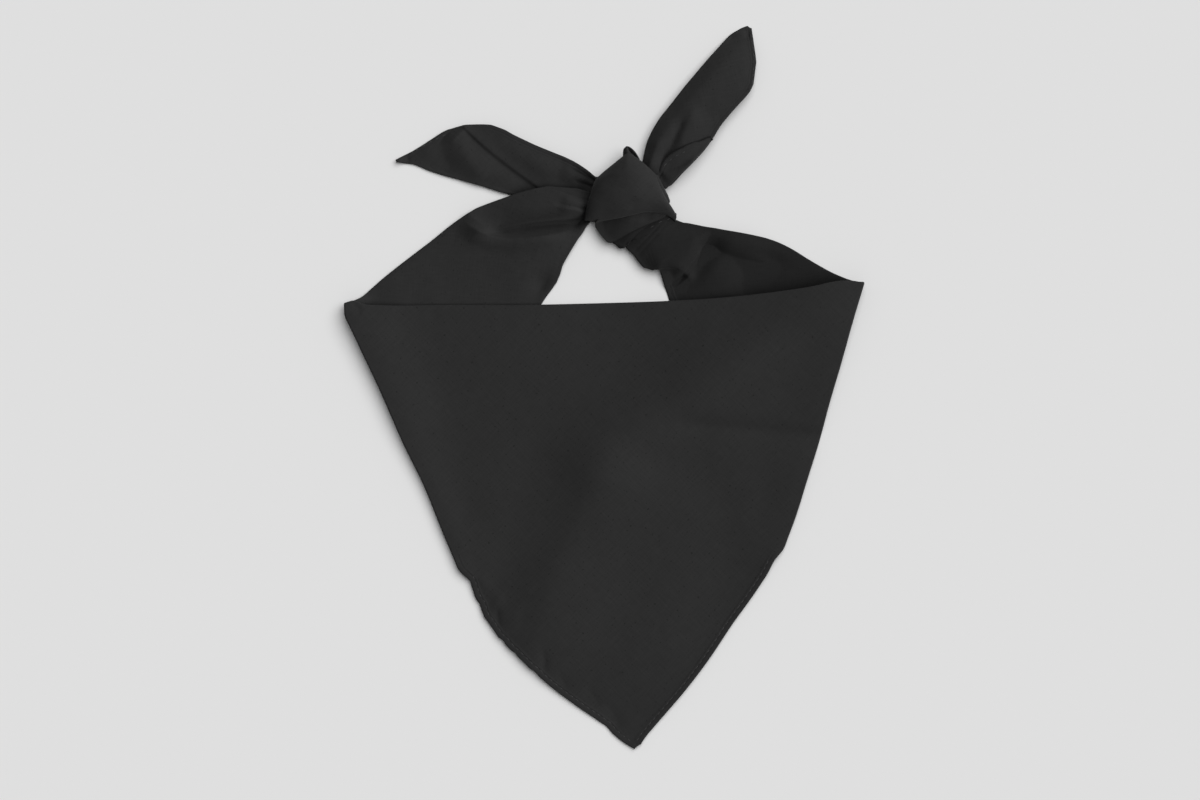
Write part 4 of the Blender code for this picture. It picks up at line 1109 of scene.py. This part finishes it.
knotEar = {
    # the loop's near face, which leans over: its outer rail, then its rail at the opening
    "outer": ((8.0, 101.6, 8.9), (8.6, 103.6, 8.8), (8.6, 105.6, 8.7), (8.9, 107.0, 8.9), (9.7, 107.8, 9.2)),
    "opening": ((14.4, 101.8, 9.0), (13.3, 103.6, 9.5), (11.8, 105.0, 9.9), (11.0, 106.2, 9.9),
                (10.7, 107.5, 9.6)),
    "bulge": 0.7,
    "rows": 36,
    "columns": 24,
    "dense": 0.4,
    "turned": (("left", 0.4, 1.2, 2.4), ("right", 0.4, 0.8, 1.6)),
}


def makeEar():
    share = np.linspace(0.0, 1.0, knotEar["rows"] + 1)
    outer, opening = (alongCurve(np.array(knotEar[rail]), share) for rail in ("outer", "opening"))
    across = denseAtEnds(knotEar["columns"], knotEar["dense"])[None, :, None]
    grid = outer[:, None] * (1 - across) + opening[:, None] * across
    grid[..., 2] += knotEar["bulge"] * np.sin(math.pi * across[..., 0])
    grid = turnedSides(alongCloth(grid), knotEar["turned"])
    return clothPiece("knotEar", grid, knotCotton, ("knot_loop",))


knotCore = {
    "voxel": 0.6,
    "smoothing": 6,
    "layerPitch": 1.9,    # from one hidden layer to the next
    "layerDepth": 0.22,
    "layerSway": 0.8,     # the layers rise and fall this much on their way round
    "sways": 2,
    "swayStart": 0.5,
    "firmRadius": 3.0,    # nearer to its middle, the layers fade out
    "wayRadius": 12.0,    # of the round that its weave is laid along
    "settled": 0.84,      # it is pressed down this much under the wrap
}


def makeCore():
    surface = cadSurface("knot_core")
    mesh = newMesh("knotCore", surface["points"], [], surface["triangles"].tolist())
    draft = newObject("knotCoreDraft", mesh)
    remesh = draft.modifiers.new("evenMesh", "REMESH")
    remesh.mode = "VOXEL"
    remesh.voxel_size = knotCore["voxel"] * mm
    smooth = draft.modifiers.new("soften", "SMOOTH")
    smooth.iterations = knotCore["smoothing"]
    made = finishedMesh(draft, "knotCore")
    points = np.empty(len(made.vertices) * 3)
    made.vertices.foreach_get("co", points)
    points = points.reshape(-1, 3) / mm
    middle = (points.min(axis=0) + points.max(axis=0)) / 2
    around = np.arctan2(points[:, 1] - middle[1], points[:, 0] - middle[0])
    away = np.hypot(points[:, 0] - middle[0], points[:, 1] - middle[1])
    sway = knotCore["layerSway"] * np.sin(knotCore["sways"] * around + knotCore["swayStart"])
    wave = np.sin(2 * math.pi * (points[:, 2] + sway) / knotCore["layerPitch"])
    shrink = 1.0 - knotCore["layerDepth"] * (1.0 - wave) / 2 / np.maximum(away, knotCore["firmRadius"])
    points[:, :2] = middle[:2] + (points[:, :2] - middle[:2]) * shrink[:, None]
    points[:, 2] = np.maximum(points[:, 2] * knotCore["settled"], 0.0)
    made.vertices.foreach_set("co", (points * mm).ravel())
    corners = np.empty(len(made.loops), dtype=np.int32)
    made.loops.foreach_get("vertex_index", corners)
    layWeave(made, np.column_stack((around * knotCore["wayRadius"], points[:, 2] - away))[corners])
    made.materials.clear()
    made.materials.append(knotCotton)
    made.shade_smooth()
    return addPiece("knotCore", made, ("knot_core",))


knotLoopPiece = makeLoop()
knotEarPiece = makeEar()
knotCorePiece = makeCore()
print("knot made")


stitch = {
    "pitch": 2.95,
    "length": 1.6,
    "thickness": 0.26,
    "uneven": 0.18,
    "lift": 0.02,         # above the cloth
    "lineStep": 0.8,      # between the points of a sewn line
    "beadSides": 8,
    "beadRings": 6,
    "leftTop": -84.0,     # the front's hems are sewn from these y down to the last
    "rightTop": -76.0,
    "low": -158.6,
    "every": 6,           # of the points of a hem's line
}


def stitchTree():
    # stitches along every edge of a mesh, each a small long bead lying along the line
    inputs = {"Line": "Geometry", "Pitch": "Float", "Length": "Float", "Thickness": "Float",
              "Unevenness": "Float", "Seed": "Int", "Thread": "Material"}
    outputs = {"Stitches": "Geometry"}
    tree, source, result = newGroup("sewnStitches", "GeometryNodeTree", inputs, outputs, 1000)
    tree.is_modifier = True
    link = tree.links.new
    curve = addNode(tree, "GeometryNodeMeshToCurve", -800, 200)
    places = addNode(tree, "GeometryNodeCurveToPoints", -600, 200, mode="LENGTH")
    bead = addNode(tree, "GeometryNodeMeshUVSphere", -400, -200)
    setInputs(bead, {"Segments": stitch["beadSides"], "Rings": stitch["beadRings"], "Radius": 0.5})
    vary = addNode(tree, "FunctionNodeRandomValue", -600, -400, data_type="FLOAT")
    less = mathNode(tree, "SUBTRACT", 1.0, source.outputs["Unevenness"], -800, -350)
    more = mathNode(tree, "ADD", source.outputs["Unevenness"], 1.0, -800, -450)
    floats = [socket for socket in vary.inputs if socket.type == "VALUE"]
    link(less, floats[0])
    link(more, floats[1])
    link(source.outputs["Seed"], vary.inputs["Seed"])
    varied = [socket for socket in vary.outputs if socket.type == "VALUE"][0]
    size = addNode(tree, "ShaderNodeCombineXYZ", -200, -350)
    link(mathNode(tree, "MULTIPLY", source.outputs["Length"], varied, -400, -350), size.inputs[0])
    link(source.outputs["Thickness"], size.inputs[1])
    link(source.outputs["Thickness"], size.inputs[2])
    align = addNode(tree, "FunctionNodeAlignRotationToVector", -400, 0, axis="X")
    place = addNode(tree, "GeometryNodeInstanceOnPoints", 0, 100)
    real = addNode(tree, "GeometryNodeRealizeInstances", 200, 100)
    smooth = addNode(tree, "GeometryNodeSetShadeSmooth", 400, 100)
    finish = addNode(tree, "GeometryNodeSetMaterial", 600, 100)
    link(source.outputs["Line"], curve.inputs["Mesh"])
    link(curve.outputs[0], places.inputs["Curve"])
    link(source.outputs["Pitch"], places.inputs["Length"])
    link(places.outputs["Points"], place.inputs["Points"])
    link(places.outputs["Tangent"], align.inputs["Vector"])
    link(align.outputs[0], place.inputs["Rotation"])
    link(bead.outputs["Mesh"], place.inputs["Instance"])
    link(size.outputs[0], place.inputs["Scale"])
    link(place.outputs[0], real.inputs[0])
    link(real.outputs[0], smooth.inputs[0])
    link(smooth.outputs[0], finish.inputs["Geometry"])
    link(source.outputs["Thread"], finish.inputs["Material"])
    link(finish.outputs[0], result.inputs[0])
    return tree


sewnStitches = stitchTree()


threadLook = {
    "surface": {"Roughness": 0.7, "Specular IOR Level": 0.35, "Sheen Weight": 0.2},
    "twist": {"Scale": 1600.0},
    "shade": {"To Min": 0.03, "To Max": 0.05},
    "bump": {"Strength": 0.5, "Distance": 0.00008},
}


def threadMaterial():
    material, tree, surface = newMaterial("hemThread", threadLook["surface"])
    place = addNode(tree, "ShaderNodeTexCoord", -900, 0)
    twist = addNode(tree, "ShaderNodeTexNoise", -650, 0)
    tone = addNode(tree, "ShaderNodeMapRange", -400, 100)
    shade = addNode(tree, "ShaderNodeCombineColor", -200, 100)
    bump = addNode(tree, "ShaderNodeBump", -200, -200)
    for node, look in ((twist, "twist"), (tone, "shade"), (bump, "bump")):
        setInputs(node, threadLook[look])
    tree.links.new(place.outputs["Object"], twist.inputs["Vector"])
    tree.links.new(twist.outputs["Fac"], tone.inputs["Value"])
    for channel in shade.inputs:
        tree.links.new(tone.outputs[0], channel)
    tree.links.new(shade.outputs[0], surface.inputs["Base Color"])
    tree.links.new(twist.outputs["Fac"], bump.inputs["Height"])
    tree.links.new(bump.outputs[0], surface.inputs["Normal"])
    return material


hemThread = threadMaterial()


def sewOn(name, piece, lines, seed):
    # drops lines onto a piece from above and sews along them
    tree = pieceTree(piece)
    points = []
    edges = []
    for line in lines:
        count = max(2, int(runLength(line)[-1] / stitch["lineStep"]))
        fine = alongCurve(line, np.linspace(0.0, 1.0, count + 1))
        z = heightsOn(tree, fine[:, 0], fine[:, 1]) + stitch["lift"]
        edges += [(len(points) + k, len(points) + k + 1) for k in range(count)]
        points += np.column_stack((fine, z)).tolist()
    draft = newObject(name + "Line", newMesh(name, points, edges, []))
    modifier = draft.modifiers.new("sewn", "NODES")
    modifier.node_group = sewnStitches
    values = {"Pitch": stitch["pitch"] * mm, "Length": stitch["length"] * mm,
              "Thickness": stitch["thickness"] * mm, "Unevenness": stitch["uneven"],
              "Seed": seed, "Thread": hemThread}
    for item in sewnStitches.interface.items_tree:
        if item.in_out == "INPUT" and item.name in values:
            modifier[item.identifier] = values[item.name]
    return addPiece(name, finishedMesh(draft, name))


def hemLine(edge, towardsLeft, top):
    # the line of stitches along one of the front's hems
    line = insetSide(edge, towardsLeft * (frontHem["inset"] - cloth["edgeRadius"]))[:, :2]
    return line[(line[:, 1] < top) & (line[:, 1] > stitch["low"])][::stitch["every"]]


hemLines = (hemLine(leftHemLine, -1.0, stitch["leftTop"]), hemLine(rightHemLine, 1.0, stitch["rightTop"]))
frontStitches = sewOn("frontHemStitches", frontPanel, hemLines, 1)
sewnLines = (
    ("leftTailStitches", leftTailPiece, ((-84.0, 107.0), (-78.6, 110.2), (-72.0, 113.3))),
    ("rightTailStitches", rightTailPiece, ((66.0, 158.0), (67.0, 152.0), (67.2, 144.0), (66.6, 137.0))),
    ("tailFlapStitches", tailFlapPiece, ((27.4, 99.9), (31.4, 103.2), (35.6, 105.4))),
    ("rightBandStitches", rightBandPiece, ((21.6, 72.2), (25.0, 74.2), (29.0, 75.7))),
)
# each line has a seed of its own, from 2 on
leftTailStitches, rightTailStitches, flapStitches, bandStitches = (
    sewOn(name, piece, (np.array(line),), seed) for seed, (name, piece, line) in enumerate(sewnLines, 2)
)
print("stitches made")


view = {
    "aim": (-1.8, -5.625),  # straight down at this x and y
    "distance": 2250.0,
    "lens": 150.0,
    "sensor": 36.0,
    "clipEnd": 20.0,        # metres
}
camera = newObject("camera", bpy.data.cameras.new("camera"))
camera.data.lens = view["lens"]
camera.data.sensor_width = view["sensor"]
camera.data.clip_end = view["clipEnd"]
camera.location = (view["aim"][0] * mm, view["aim"][1] * mm, view["distance"] * mm)
bpy.context.scene.camera = camera


light = {
    "keyFrom": (0.95, -0.22, 0.8),   # towards the large softbox on the right
    "keyPower": 2.5,
    "keySoftness": 40.0,             # degrees across, as seen from the cloth
    "sideFrom": (0.45, 0.9, 0.9),
    "sidePower": 1.3,
    "sideSoftness": 50.0,
    "floorFrom": (0.35, 0.45, 1.0),  # the sweep's own lamps, which leave the cloth alone
    "floorPower": 2.42,
    "floorSoftness": 60.0,
    "room": 0.17,                    # even light of the room
}


def softbox(name, towards, power, softness):
    lamp = bpy.data.lights.new(name, "SUN")
    lamp.energy = power
    lamp.angle = math.radians(softness)
    item = newObject(name, lamp)
    item.rotation_mode = "QUATERNION"
    item.rotation_quaternion = Vector(towards).to_track_quat("Z", "Y")
    return item


clothLights = (
    softbox("softboxKey", light["keyFrom"], light["keyPower"], light["keySoftness"]),
    softbox("softboxSide", light["sideFrom"], light["sidePower"], light["sideSoftness"]),
)
floorLight = softbox("softboxFloor", light["floorFrom"], light["floorPower"], light["floorSoftness"])

world = bpy.data.worlds.new("studio")
world.use_nodes = True
setInputs(world.node_tree.nodes["Background"], {"Color": (1.0, 1.0, 1.0, 1.0), "Strength": light["room"]})
bpy.context.scene.world = world
bpy.context.scene.view_settings.view_transform = "Standard"

floorLook = {
    "half": 3000.0,      # from its middle to its edge
    "below": 0.05,       # the cloth
    "surface": {"Base Color": (0.88, 0.88, 0.88, 1.0), "Roughness": 0.9, "Specular IOR Level": 0.1},
}


def makeFloor():
    half = floorLook["half"]
    corners = ((-half, -half, 0), (half, -half, 0), (half, half, 0), (-half, half, 0))
    mesh = newMesh("floor", corners, [], [(0, 1, 2, 3)])
    mesh.materials.append(newMaterial("paleFloor", floorLook["surface"])[0])
    floor = newObject("floor", mesh)
    floor.location.z = -floorLook["below"] * mm
    return floor


def lightOnly(lamps, floor, state):
    # lamps light the floor alone, or everything but the floor
    group = bpy.data.collections.new("floor" + state.title())
    group.objects.link(floor)
    group.collection_objects[0].light_linking.link_state = state
    for lamp in lamps:
        lamp.light_linking.receiver_collection = group


floor = makeFloor()
lightOnly(clothLights, floor, "EXCLUDE")
lightOnly((floorLight,), floor, "INCLUDE")
